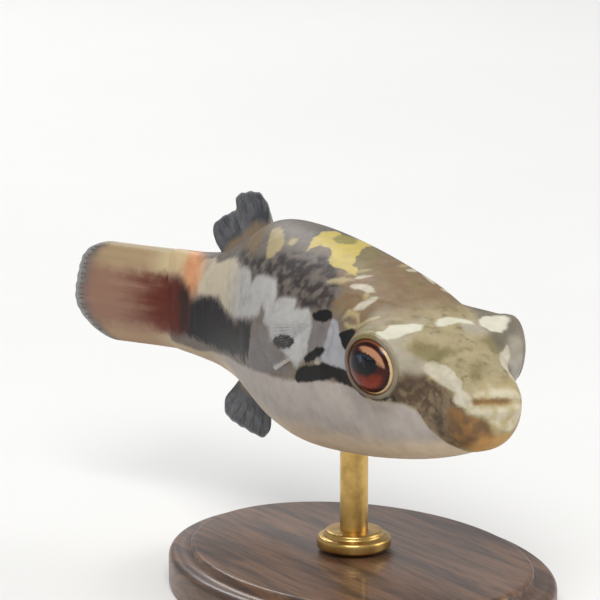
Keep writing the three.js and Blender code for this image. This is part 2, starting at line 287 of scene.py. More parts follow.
def mesh_object(name, points, faces, attributes=None, edges=()):
    """A smooth mesh object in metres, with its place in the mesh."""
    mesh = bpy.data.meshes.new(name)
    corners = (np.asarray(points, float) * MM).tolist()
    mesh.from_pydata(corners, list(edges), [list(f) for f in faces])
    mesh.validate()
    mesh.update()
    mesh.shade_smooth()
    for key, values in (attributes or {}).items():
        add_attribute(mesh, key, values)
    return add_object(name, mesh)


def read_points(mesh, what):
    flat = np.empty(len(mesh.vertices) * 3)
    mesh.vertices.foreach_get(what, flat)
    return flat.reshape(-1, 3)


def mesh_points(mesh):
    """A mesh's points in millimetres."""
    return read_points(mesh, "co") / MM


def set_mesh_points(mesh, points):
    mesh.vertices.foreach_set("co", (points * MM).ravel())
    mesh.update()


def point_outwards(mesh):
    """Turns a closed mesh's faces outwards."""
    work = bmesh.new()
    work.from_mesh(mesh)
    bmesh.ops.recalc_face_normals(work, faces=work.faces)
    if work.calc_volume(signed=True) < 0:
        bmesh.ops.reverse_faces(work, faces=work.faces)
    work.to_mesh(mesh)
    work.free()


def ring_faces(rows, columns, bands):
    """Faces between rings of points; with as many bands as rows the last joins the first."""
    faces = []
    for i in range(bands):
        a, b = i * columns, (i + 1) % rows * columns
        for j in range(columns):
            k = (j + 1) % columns
            faces.append((a + j, a + k, b + k, b + j))
    return faces


def lathe_faces(rows, columns):
    """Faces of a closed turned shape: its rings' points, then a first and a last pole."""
    faces = ring_faces(rows, columns, rows - 1)
    first, last, end = rows * columns, rows * columns + 1, (rows - 1) * columns
    for j in range(columns):
        k = (j + 1) % columns
        faces += [(first, k, j), (last, end + j, end + k)]
    return faces


def turned(name, radius, height, columns, spin, poles=None):
    """A closed shape turned about an axis from its rings, shut by a pole at each end."""
    rows = len(radius)
    around = np.tile(full_turn(columns), rows)
    points = spin(np.repeat(radius, columns), np.repeat(height, columns), around)
    poles = np.array(poles or (height[0], height[-1]))
    points = np.vstack([points, spin(np.zeros(2), poles, np.zeros(2))])
    piece = mesh_object(name, points, lathe_faces(rows, columns))
    point_outwards(piece.data)
    return piece


def baked(piece):
    """A plain mesh from an object with its modifiers, which takes the object's place."""
    graph = bpy.context.evaluated_depsgraph_get()
    mesh = bpy.data.meshes.new_from_object(piece.evaluated_get(graph))
    piece.modifiers.clear()
    old = piece.data
    piece.data = mesh
    bpy.data.meshes.remove(old)
    mesh.name = piece.name
    return piece


def joined(name, pieces):
    """Several objects as one."""
    with bpy.context.temp_override(active_object=pieces[0], selected_editable_objects=pieces):
        bpy.ops.object.join()
    pieces[0].name = name
    pieces[0].data.name = name
    return pieces[0]


# ---------------- skin

CORE_RINGS = 260
CORE_AROUND = 128
SKIN_REACH = 0.06  # the skin runs this far onto the tail fin, thinning as it goes
SKIN_CLOSE = 0.97  # share of that reach where it is closed off, inside the fin
SKIN_NARROWS = 0.9  # share of its width that it loses there
SKIN_SINKS = 0.32  # share of its height that it loses there
VOXEL = 0.17
FINE_MUZZLE = 0.06  # stations with finer mesh
EASE_SPAN = (5.0, 8.0)  # from an eye's axis, where its stronger easing fades
SNAP_EYES = (4.6, 7.6)  # from an eye's axis, where the skin starts to follow the sections
SNAP_SNOUT = (0.004, 0.012)
SNAP_TAIL = (0.98, 1.0)
EYE_BEHIND = -5.0  # past this depth a point isn't on an eye's side of the head
FAR = 99.0


def raise_orbits(points):
    """Skin near an eye is drawn out to a flat rim in the plane of the eye's ring."""
    for eye in EYES.values():
        height, from_axis = eye.measure(points)
        near = 1 - smooth(from_axis, ORBIT_RIM, ORBIT_RIM + ORBIT_SKIRT)
        shallow = 1 - smooth(-height, *ORBIT_REACH)
        points = points - (height * near * shallow)[:, None] * eye.look
    return points


def body_core():
    """The body without its small forms: a loft from the snout to the root of the tail fin."""
    end = 1 + SKIN_REACH * SKIN_CLOSE
    t = np.linspace(0, 1, CORE_RINGS + 1)[1:]
    stations = (0.45 * t + 0.55 * t**2) * end  # close together where the snout curves fast
    s = np.repeat(stations, CORE_AROUND)
    side, up = ring_point(s, np.tile(full_turn(CORE_AROUND), CORE_RINGS))
    beyond = np.clip((s - 1) / SKIN_REACH, 0, 1)
    side = side * (1 - SKIN_NARROWS * smooth(beyond, -0.08, 0.55))
    up = up * (1 - SKIN_SINKS * beyond**2)
    points = raise_orbits(place(s, side, up))
    points = np.vstack([points, place(0, 0, 0), place(end, 0, 0)])
    return mesh_object("body_core", points, lathe_faces(CORE_RINGS, CORE_AROUND))


DOME_ROWS = 28
DOME_COLUMNS = 64
DOME_TOP = ((2.5, 0.0), (2.35, 0.06), (1.5, 0.06))  # radius and height of its last rings


def orbit_dome(eye):
    """The bulge of skin round an eyeball, rounded over at the eye's plane."""
    across, along = EYE_RADIUS + ORBIT_SKIN, EYE_DEPTH + ORBIT_SKIN
    tilt = np.linspace(0.02, math.acos(-(RING_DEPTH - 0.1) / along), DOME_ROWS)
    top_radius, top_height = zip(*DOME_TOP)
    radius = np.concatenate([across * np.sin(tilt), top_radius])
    height = np.concatenate([-RING_DEPTH - along * np.cos(tilt), top_height])
    return turned("orbit", radius, height, DOME_COLUMNS, eye.spin,
                  (-RING_DEPTH - along, top_height[-1]))


def eased(mesh, points, share, rounds):
    """Each point moves part of the way to the middle of its neighbours, a few times."""
    edges = np.empty(len(mesh.edges) * 2, int)
    mesh.edges.foreach_get("vertices", edges)
    a, b = edges.reshape(-1, 2).T
    count = np.bincount(a, minlength=len(points)) + np.bincount(b, minlength=len(points))
    for _ in range(rounds):
        total = np.zeros_like(points)
        for axis in range(3):
            total[:, axis] = (
                np.bincount(a, points[b, axis], len(points))
                + np.bincount(b, points[a, axis], len(points))
            )
        points = points + share[:, None] * (total / count[:, None] - points)
    return points


def from_eyes(points):
    """Distance to the nearer eye's looking axis, for points on that eye's side of the head."""
    nearest = np.full(len(points), FAR)
    for eye in EYES.values():
        height, from_axis = eye.measure(points)
        nearest = np.where(height > EYE_BEHIND, np.minimum(nearest, from_axis), nearest)
    return nearest


def snap_to_sections(points):
    """Away from the eyes, the snout's tip and the tail the skin lies on the body's sections."""
    s, side, up = locate(points)
    exact = place(s, *ring_point(s, np.radians(angle_round(s, side, up))))
    hold = smooth(from_eyes(points), *SNAP_EYES) * smooth(s, *SNAP_SNOUT)
    hold = hold * (1 - smooth(s, *SNAP_TAIL))
    return mixed(points, exact, hold[:, None])


def fine_faces(mesh, points):
    """Splits the faces of the muzzle into four."""
    fine = locate(points)[0] < FINE_MUZZLE
    work = bmesh.new()
    work.from_mesh(mesh)
    work.verts.ensure_lookup_table()
    faces = [f for f in work.faces if all(fine[v.index] for v in f.verts)]
    edges = list({e for f in faces for e in f.edges})
    bmesh.ops.subdivide_edges(work, edges=edges, cuts=1, use_grid_fill=True)
    work.to_mesh(mesh)
    work.free()
    mesh.update()


MOUTH_HALF = 2.05  # half width of the mouth
MOUTH_RISE = 0.6  # height of its middle above the body axis
MOUTH_TILT = -0.09  # how much higher its left end sits, per millimetre aside
MOUTH_FADE = (0.022, 0.05)  # stations over which its forms fade away
SLIT_DEPTH = 0.09
SLIT_HALF = 0.16

# Rolls of skin round the mouth: how far each stands out, its height above the mouth's line
# and its half height. Two lips, then the creases above and below them.
MOUTH_ROLLS = ((0.13, 0.54, 0.42), (0.18, -0.6, 0.46), (-0.05, 1.3, 0.3), (-0.06, -1.6, 0.45))


def mouth_line(side):
    return MOUTH_RISE + MOUTH_TILT * side


def shape_muzzle(points, normals):
    """Lips that roll outwards round a closed mouth, and the creases beyond them."""
    s, side, up = locate(points)
    above = up - mouth_line(side)
    past_corner = np.abs(side) - MOUTH_HALF
    rolls = sum(out * hump(above, middle, half) for out, middle, half in MOUTH_ROLLS)
    slit = SLIT_DEPTH * hump(above, 0, SLIT_HALF) * (1 - smooth(past_corner, -0.2, 0.1))
    push = rolls * (1 - smooth(past_corner, -0.25, 0.45)) - slit
    push = push * (1 - smooth(s, *MOUTH_FADE))
    return points + push[:, None] * normals


NOSTRIL = {
    "station": 0.042, "angle": 27.0, "height": 0.2, "tube": (0.16, 0.42), "depth": 0.3,
    "hole": (0.02, 0.15),
}


def shape_nostrils(points, normals):
    """A small raised tube on each side of the snout, open at its top."""
    for sign in (-1, 1):
        angle = math.radians(NOSTRIL["angle"]) * sign
        centre = place(NOSTRIL["station"], *ring_point(np.array(NOSTRIL["station"]), angle))
        distance = np.linalg.norm(points - centre, axis=1)
        tube = NOSTRIL["height"] * (1 - smooth(distance, *NOSTRIL["tube"]))
        hole = NOSTRIL["depth"] * (1 - smooth(distance, *NOSTRIL["hole"]))
        points = points + (tube - hole)[:, None] * normals
    return points


GILL = {"station": 0.35, "from": 60.0, "to": 80.0, "bow": 0.007, "depth": 0.3, "half": 0.16}
GILL_LIP = {"height": 0.1, "ahead": -0.42, "half": 0.3}


def shape_gills(points, normals):
    """A short curved slit ahead of each pectoral fin."""
    s, side, up = locate(points)
    angle = np.abs(angle_round(s, side, up))
    middle = (GILL["from"] + GILL["to"]) / 2
    share = (angle - middle) / (GILL["to"] - GILL["from"]) * 2
    line = GILL["station"] - GILL["bow"] * (1 - share**2)
    off = (s - line) * STANDARD_LENGTH
    lip = GILL_LIP["height"] * hump(off, GILL_LIP["ahead"], GILL_LIP["half"])
    groove = GILL["depth"] * hump(off, 0, GILL["half"])
    length = 1 - smooth(np.abs(share), 0.75, 1.1)
    return points + (length * (lip - groove))[:, None] * normals


SOCKET = {"radius": (1.8, 2.1), "floor": -1.5, "reach": -2.2}


def sink_sockets(points):
    """Skin under an eyeball is pushed in, so that only the ball shows inside the ring."""
    for eye in EYES.values():
        height, from_axis = eye.measure(points)
        inside = (1 - smooth(from_axis, *SOCKET["radius"])) * (height > SOCKET["reach"])
        drop = np.clip(height - SOCKET["floor"], 0, None) * inside
        points = points - drop[:, None] * eye.look
    return points


LID = {
    "rows": 16, "columns": 128, "radius": 2.32, "half_width": 0.22, "half_height": 0.17,
    "lean": 0.04,
}


def lid_ring(eye):
    """The smooth rim of skin that lies against the eyeball."""
    turn = np.repeat(full_turn(LID["rows"]), LID["columns"])
    around = np.tile(full_turn(LID["columns"]), LID["rows"])
    radius = LID["radius"] + LID["half_width"] * np.cos(turn)
    height = LID["half_height"] * np.sin(turn) - LID["lean"] * np.cos(turn)
    uneven = 1 + 0.06 * np.sin(3 * around + 0.7) + 0.04 * np.sin(7 * around)
    points = eye.spin(radius, height * uneven, around)
    ring = mesh_object("lid_ring", points, ring_faces(LID["rows"], LID["columns"], LID["rows"]))
    point_outwards(ring.data)
    return ring


def make_skin():
    """One closed skin over head, jaws, trunk and tail stalk."""
    skin = joined("skin", [body_core()] + [orbit_dome(eye) for eye in EYES.values()])
    remesh = skin.modifiers.new("one skin", "REMESH")
    remesh.mode = "VOXEL"
    remesh.voxel_size = VOXEL * MM
    baked(skin)
    mesh = skin.data
    points = mesh_points(mesh)
    round_eyes = 1 - smooth(from_eyes(points), *EASE_SPAN)
    points = eased(mesh, points, 0.35 + 0.15 * round_eyes, 3)
    points = eased(mesh, points, 0.5 * round_eyes, 5)
    points = snap_to_sections(points)
    set_mesh_points(mesh, points)
    fine_faces(mesh, points)
    for shape in (shape_muzzle, shape_nostrils, shape_gills):
        set_mesh_points(mesh, shape(mesh_points(mesh), read_points(mesh, "normal")))
    set_mesh_points(mesh, sink_sockets(mesh_points(mesh)))
    point_outwards(mesh)
    joined("skin", [skin] + [lid_ring(eye) for eye in EYES.values()])
    skin.data.shade_smooth()
    return skin


# ---------------- marks on the skin

# Outlines of marks that are alike on both sides: (station in thousandths, degrees from the back).
PATCHES = {
    "dun": [
        [(635, 35), (666, 22), (654, 15), (600, 25), (590, 33), (598, 41), (616, 43)],
    ],
    "ochre": [
        [(668, 33), (700, 10), (760, 4), (760, 30), (720, 40), (668, 45)],
    ],
    "olive": [
        [(274, 51), (258, 46), (224, 43), (207, 46), (181, 54), (205, 58), (230, 56)],
        [(130, 50), (140, 36), (128, 21), (104, 20), (96, 34), (112, 50)],
    ],
    "pale": [
        [(113, 48), (102, 41), (83, 35), (66, 32), (54, 36), (40, 38), (30, 52), (22, 66),
         (20, 80), (30, 79), (36, 72), (36, 61), (52, 61), (71, 61), (92, 60), (107, 57)],
    ],
    "sand": [
        [(134, 68), (132, 50), (113, 47), (104, 58), (117, 68)],
    ],
    "cloud": [
        [(852, 37), (798, 38), (752, 44), (716, 53), (654, 54), (633, 60), (621, 54), (581, 51),
         (546, 50), (528, 56), (524, 61), (514, 58), (498, 56), (469, 54), (463, 60), (427, 57),
         (411, 61), (402, 66), (402, 82), (430, 90), (463, 86), (516, 80), (526, 75), (547, 74),
         (548, 69), (569, 66), (570, 71), (585, 75), (643, 80), (708, 83), (772, 80), (805, 73),
         (860, 74), (898, 76), (915, 52), (905, 28), (872, 24)],
    ],
    "gill_cover": [
        [(355, 56), (338, 57), (321, 64), (306, 71), (262, 70), (255, 80), (288, 85), (328, 85),
         (355, 83), (360, 78), (350, 70), (353, 64)],
    ],
    "ash": [
        [(612, 90), (549, 77), (508, 83), (451, 94), (546, 100), (632, 103)],
        [(404, 60), (360, 58), (352, 68), (360, 84), (400, 84)],
    ],
    "soot": [
        [(975, 80), (930, 84), (899, 79), (868, 74), (805, 75), (760, 82), (696, 84), (597, 78),
         (601, 89), (635, 101), (743, 110), (858, 121), (909, 119), (975, 122)],
    ],
    "umber": [
        [(760, 36), (660, 45), (615, 41), (571, 33), (534, 26), (470, 20), (417, 26), (372, 40),
         (381, 54), (443, 58), (475, 54), (523, 57), (545, 51), (607, 54), (640, 58), (720, 52)],
    ],
    "black": [
        [(437, 96), (431, 92), (425, 90), (400, 88), (364, 86), (354, 84), (318, 84), (288, 85),
         (240, 80), (180, 84), (143, 90), (171, 92.5), (199, 92), (256, 92), (297, 91), (333, 91),
         (364, 93), (402, 97), (428, 98)],
        [(323, 64), (309, 58), (287, 55), (262, 60), (262, 70), (300, 72), (311, 69)],
        [(354, 55), (355, 57), (363, 59), (376, 61), (391, 62), (404, 61.5), (411, 60), (411, 58),
         (402, 56), (390, 54), (376, 53), (362, 53)],
        [(441, 78), (446, 80), (456, 82), (471, 83), (486, 83.5), (499, 83), (506, 81.5),
         (502, 79.5), (490, 77.5), (475, 76), (460, 75.5), (446, 76)],
    ],
    "cheek": [
        [(152, 92), (150, 72), (130, 68), (107, 60), (92, 62), (71, 63), (52, 63), (38, 66),
         (34, 80), (12, 92), (10, 120), (16, 160), (40, 150), (58, 146), (68, 135), (79, 121),
         (92, 114), (104, 102), (115, 95)],
    ],
    "bruise": [
        [(132, 83), (124, 66), (104, 62), (92, 70), (104, 82)],
        [(60, 128), (52, 100), (60, 86), (78, 96), (76, 118)],
    ],
    "salmon": [
        [(1100, 0), (930, 0), (905, 34), (893, 58), (905, 74), (945, 80), (972, 60), (1100, 56)],
    ],
    "maroon": [
        [(1100, 58), (976, 62), (938, 74), (930, 88), (940, 112), (978, 128), (1100, 130)],
    ],
}

# Marks on the back that are not alike on both sides: minus is the fish's right.
BACK_PATCHES = {
    "yellow": [
        [(525, -24), (547, -14), (562, -1), (560, 9), (536, 8), (524, 14), (514, 23), (498, 24),
         (478, 12), (458, 2), (435, -7), (418, -14), (393, -16), (377, -21), (392, -23),
         (420, -22), (444, -25), (466, -22), (471, -16), (497, -13), (520, -14), (524, -20)],
    ],
    "olive": [
        [(456, -5), (482, 18), (434, 16), (410, 2), (375, -8), (366, -19), (399, -19), (428, -15)],
        [(59, -13), (74, 3), (56, 8), (32, -10), (38, -22)],
    ],
    "moss": [
        [(525, -3), (545, 9), (532, 14), (503, 11), (489, 2), (502, -4)],
    ],
    "cream": [
        [(164, -6), (174, -5), (184, -1), (185, 3), (179, 10), (171, 18), (158, 19), (168, 6),
         (164, 1), (161, -2)],
        [(172, 25), (186, 34), (191, 46), (164, 48), (150, 47), (138, 41), (141, 31), (156, 24)],
        [(164, -55), (181, -49), (192, -43), (197, -39), (188, -29), (184, -21), (175, -15),
         (161, -21), (161, -35), (156, -44), (152, -52), (158, -55)],
    ],
}

# Marks on the muzzle as (aside, up) seen from in front, in millimetres: minus is the right.
FRONT_PATCHES = {
    # Pale lips; to the fish's left (plus) the lip outlines run on to the edge and down over the
    # chin as painted highlight where light falls, so the chin's own colour is drawn on the right
    # only.
    "lip": [
        [(-1.55, 1.62), (-0.27, 1.75), (0.87, 1.56), (1.7, 1.2), (2.4, 0.7), (2.4, 0.5),
         (1.4, 0.6), (-0.62, 0.88), (-2.05, 1.0)],
        [(-2.3, 0.42), (-1.55, 0.42), (-0.75, 0.4), (0.18, 0.3), (1.1, 0.2), (2.5, 0.1),
         (2.6, -1.0), (1.5, -1.9), (0.5, -1.6), (-0.1, -1.1), (-0.72, -0.64), (-1.41, -0.33),
         (-2.2, -0.1)],
    ],
    "chin": [
        [(-2.9, 0.2), (-2.15, 0.0), (-1.13, -0.46), (-0.6, -0.95), (-0.2, -1.6), (0.3, -2.3),
         (-0.5, -3.0), (-1.76, -3.3), (-3.4, -1.5), (-3.3, -0.3)],
    ],
    "pale": [[(-2.5, 1.5), (-2.1, 1.45), (-1.85, 0.95), (-2.0, 0.45), (-2.6, 0.4), (-2.75, 0.9)]],
}

# Slender marks, widest in the middle: half width in millimetres, then the line they follow.
STROKES = {
    "pale": [
        (0.2, [(377, 24), (366, 18), (358, 12)]),
        (0.36, [(366, 30), (342, 25), (314, 22)]),
        (0.38, [(319, 44), (305, 36), (293, 24)]),
    ],
    "dun": [
        (0.26, [(283, 55), (262, 47), (240, 38)]),
        (0.26, [(330, 54), (322, 46), (300, 45), (284, 50)]),
        (0.24, [(322, 55), (300, 57), (284, 52)]),
        (0.30, [(420, 36), (395, 30), (372, 24)]),
        (0.24, [(400, 24), (386, 17), (378, 10)]),
    ],
    "black": [
        (0.3, [(408, 85), (380, 81), (352, 76)]),
        (0.3, [(617, 78), (617, 88), (614, 98)]),
    ],
}

# Round marks: station in thousandths, degrees, half length and half height in millimetres.
SPOTS = {
    "dun": [(579, 24.0, 0.35, 0.35), (314, 30.0, 0.3, 0.3)],
    "pale": [(372, 83.0, 0.5, 0.3)],
}

# Lower edge of the coloured back and flanks, up to which the belly's white reaches.
BELLY_EDGE = np.array([
    (0, 200), (45, 190), (53, 146), (68, 134), (79, 121), (92, 113), (104, 102), (115, 96),
    (135, 93), (300, 91), (360, 93), (430, 98), (546, 100), (632, 104), (743, 113), (858, 128),
    (912, 140), (1100, 150),
])
MARK_REACH = 3.0  # a mark's edge is measured this far to both sides
OUTSIDE = -9.0
FRONT_DEPTH = 2.6  # marks on the muzzle reach this far back from the snout


def skin_map(s, angle):
    """The skin rolled out flat, in millimetres: along the body and round it."""
    girth = station_value(BACK, s) + station_value(BELLY, s) + 2 * station_value(HALF_WIDTH, s)
    radius = girth / 4 * STANDARD_LENGTH
    return np.stack([np.asarray(s, float) * STANDARD_LENGTH, np.radians(angle) * radius], -1)


def unrolled(line):
    """A line of marks' corners on the skin rolled out flat."""
    thousandths, degrees = np.array(line, float).T
    return skin_map(thousandths / 1000, degrees)


def line_distance(points, a, b):
    """Distance of points to the line between a and b."""
    run = b - a
    share = np.clip(((points - a) @ run) / max(run @ run, 1e-9), 0, 1)
    return np.linalg.norm(points - a - share[:, None] * run, axis=1)


def inside_outline(points, outline):
    """Distance inside an outline; outside it is less than 0."""
    distance = np.full(len(points), FAR)
    inside = np.zeros(len(points), bool)
    for a, b in zip(outline, np.roll(outline, -1, axis=0)):
        distance = np.minimum(distance, line_distance(points, a, b))
        crosses = (a[1] > points[:, 1]) != (b[1] > points[:, 1])
        rise = b[1] - a[1] if b[1] != a[1] else 1e-9
        meets = a[0] + (points[:, 1] - a[1]) * (b[0] - a[0]) / rise
        inside ^= crosses & (points[:, 0] < meets)
    return np.where(inside, distance, -distance)


def inside_stroke(flat, half_width, path):
    """Distance inside a slender mark that thins out towards its two ends."""
    corners = unrolled(path)
    steps = lengths(corners)
    starts = running(steps)
    most = np.full(len(flat), OUTSIDE)
    for a, b, start, length in zip(corners, corners[1:], starts, steps):
        share = np.clip((flat - a) @ (b - a) / length**2, 0, 1)
        walked = (start + share * length) / starts[-1]
        thick = half_width * np.sqrt(np.clip(1 - (2 * walked - 1) ** 2, 0.02, 1))
        most = np.maximum(most, thick - line_distance(flat, a, b))
    return most


def inside_spot(flat, thousandths, degrees, half_length, half_height):
    """Distance inside a round mark."""
    off = flat - unrolled([(thousandths, degrees)])
    size = np.hypot(off[:, 0] / half_length, off[:, 1] / half_height)
    return (1 - size) * min(half_length, half_height)


def measure_marks(s, side, up, angle):
    """How far each point of the skin lies inside each kind of mark, in millimetres."""
    flat, signed, face = skin_map(s, np.abs(angle)), skin_map(s, angle), np.stack([side, up], -1)
    at_front = s * STANDARD_LENGTH < FRONT_DEPTH
    marks = {}
    for name in sorted({*PATCHES, *BACK_PATCHES, *FRONT_PATCHES, *STROKES, *SPOTS}):
        kinds = [np.full(len(s), OUTSIDE)]
        kinds += [inside_outline(flat, unrolled(patch)) for patch in PATCHES.get(name, [])]
        kinds += [inside_outline(signed, unrolled(patch)) for patch in BACK_PATCHES.get(name, [])]
        kinds += [np.where(at_front, inside_outline(face, np.array(patch)), OUTSIDE)
                  for patch in FRONT_PATCHES.get(name, [])]
        kinds += [inside_stroke(flat, *stroke) for stroke in STROKES.get(name, [])]
        kinds += [inside_spot(flat, *spot) for spot in SPOTS.get(name, [])]
        marks[name] = np.max(kinds, axis=0)
    edge = skin_map(s, np.interp(s * 1000, BELLY_EDGE[:, 0], BELLY_EDGE[:, 1]))
    marks["belly"] = flat[:, 1] - edge[:, 1]
    return {name: np.clip(value, -MARK_REACH, MARK_REACH) for name, value in marks.items()}


def mark_skin(skin):
    """Puts the marks and the skin's own places on its points, for its paint to read."""
    points = mesh_points(skin.data)
    s, side, up = locate(points)
    angle = angle_round(s, side, up)
    eye_fore, eye_height = np.zeros(len(points)), np.zeros(len(points))
    for eye in EYES.values():
        near = side * eye.sign > 0
        eye_fore[near] = eye.fore(points[near])
        eye_height[near] = eye.measure(points[near])[0]
    places = {
        "along": s * STANDARD_LENGTH,
        "around": np.abs(angle),
        "aside": side,
        "rise": up,
        "from_lips": up - mouth_line(side),
        "from_eye": from_eyes(points),
        "eye_fore": eye_fore,
        "eye_height": eye_height,
    }
    for name, values in {**places, **measure_marks(s, side, up, angle)}.items():
        add_attribute(skin.data, name, values)


# ---------------- eyes

EYE_ROWS = 90
EYE_COLUMNS = 128


def make_eye(name, eye):
    """An eyeball as a turned spheroid, with its own places on its points."""
    tilt = np.linspace(0, np.pi, EYE_ROWS + 2)[1:-1]
    height = -RING_DEPTH + EYE_DEPTH * np.cos(tilt)
    ball = turned(name, EYE_RADIUS * np.sin(tilt), height, EYE_COLUMNS, eye.spin,
                  (-RING_DEPTH + EYE_DEPTH, -RING_DEPTH - EYE_DEPTH))
    points = mesh_points(ball.data)
    add_attribute(ball.data, "eye_fore", eye.fore(points))
    add_attribute(ball.data, "eye_up", (points - eye.centre) @ eye.up)
    return ball


# ---------------- fins

TAIL_FIN = {
    "root": 0.98, "root_half": 4.12, "tip_half": 4.22, "side_length": 7.6, "mid_length": 11.5,
    "drop": 0.28,
}

# Upright fins: the body's stations they stand on, and the outline of their free edge, front
# to back, as distances from the snout and above the body axis.
DORSAL_FIN = {
    "roots": (0.722, 0.868), "side": 1, "sink": 0.7, "sway": 0.45,
    "edge": [(32.4, 8.6), (33.1, 9.5), (34.2, 10.3), (35.4, 10.2), (36.8, 9.8), (37.6, 9.3),
             (37.4, 8.3), (38.5, 7.9), (39.9, 7.1), (40.3, 6.4), (39.8, 5.6), (38.8, 4.9)],
}
ANAL_FIN = {
    "roots": (0.740, 0.820), "side": -1, "sink": 0.7, "sway": -0.4,
    "edge": [(32.4, -7.4), (32.4, -9.1), (33.2, -9.75), (34.9, -9.3), (36.8, -9.1), (38.3, -8.8),
             (38.5, -7.7), (38.1, -7.0), (37.2, -6.7), (35.8, -6.5)],
}
PECTORAL_FIN = {
    "station": 0.405, "angle": 70.0, "root_height": 1.6, "sink": 0.45, "length": 4.6,
    "edge_length": 3.7,
    "right": {"up": -4.0, "down": -36.0, "out": 24.0},
    "left": {"up": 2.0, "down": -36.0, "out": 22.0},
}
EDGE_ROUNDS = 3


def tail_ray(u):
    """Root and tip of the tail fin's ray at u, from its lower edge to its upper."""
    spread = 2 * u - 1
    bow = (1 - np.abs(spread) ** 3) ** (2 / 3)
    reach = mixed(TAIL_FIN["side_length"], TAIL_FIN["mid_length"], bow)
    tip_station = TAIL_FIN["root"] + reach / STANDARD_LENGTH
    root = place(np.full_like(u, TAIL_FIN["root"]), 0, spread * TAIL_FIN["root_half"])
    tip = place(tip_station, 0, spread * TAIL_FIN["tip_half"] - TAIL_FIN["drop"])
    return root, tip


def edge_curve(points, u):
    """A smooth curve through the outline's points, even along its length."""
    points = np.array(points)
    for _ in range(EDGE_ROUNDS):
        cut = np.empty((2 * len(points) - 2, 2))
        cut[0::2] = mixed(points[:-1], points[1:], 0.25)
        cut[1::2] = mixed(points[:-1], points[1:], 0.75)
        points = np.vstack([points[:1], cut, points[-1:]])
    walked = running(lengths(points))
    at = u * walked[-1]
    return np.interp(at, walked, points[:, 0]), np.interp(at, walked, points[:, 1])


def median_ray(shape, u):
    """Root and tip of an upright fin's ray at u, front to back."""
    s = mixed(shape["roots"][0], shape["roots"][1], u)
    column = BACK if shape["side"] > 0 else BELLY
    surface = station_value(column, s) * STANDARD_LENGTH - shape["sink"]
    along, up = edge_curve(shape["edge"], u)
    tip = place(along / STANDARD_LENGTH, shape["sway"] * np.sin(np.pi * u), up)
    return place(s, 0, shape["side"] * surface), tip


def across_at(s, sign=1, out=0.0):
    """The way a fin trails at a station, level, and the direction across its web."""
    turn = turn_at(s) + sign * math.radians(out)
    trails = np.array([np.sin(turn), np.cos(turn), 0.0])
    return trails, np.array([trails[1], -trails[0], 0.0])


def pectoral_ray(which, u):
    """Root and tip of a pectoral fin's ray at u, from the top down."""
    sign, shape, pose = EYES[which].sign, PECTORAL_FIN, PECTORAL_FIN[which]
    station = shape["station"]
    skin_point = place(station, *ring_point(np.array(station), sign * math.radians(shape["angle"])))
    outwards = unit(skin_point - place(station, 0, 0))
    centre = skin_point - shape["sink"] * outwards
    trails = across_at(station, sign, pose["out"])[0]
    tilt = np.radians(mixed(pose["up"], pose["down"], u))
    reach = mixed(shape["edge_length"], shape["length"], np.sin(np.pi * u)) + shape["sink"]
    root = centre + np.multiply.outer((0.5 - u) * shape["root_height"], [0.0, 0.0, 1.0])
    tip = root + np.multiply.outer(reach * np.cos(tilt), trails)
    tip[..., 2] += reach * np.sin(tilt)
    return root, tip


RAY_END = 0.965  # share of the fin's reach where the rays stop
RAY_SPREAD = 0.24  # how far a ray's two branches part, as a share of the gap between rays
RAY_STEPS = 26
WEB_STEPS = 36
WEB_COLUMNS = 8  # for each gap between rays


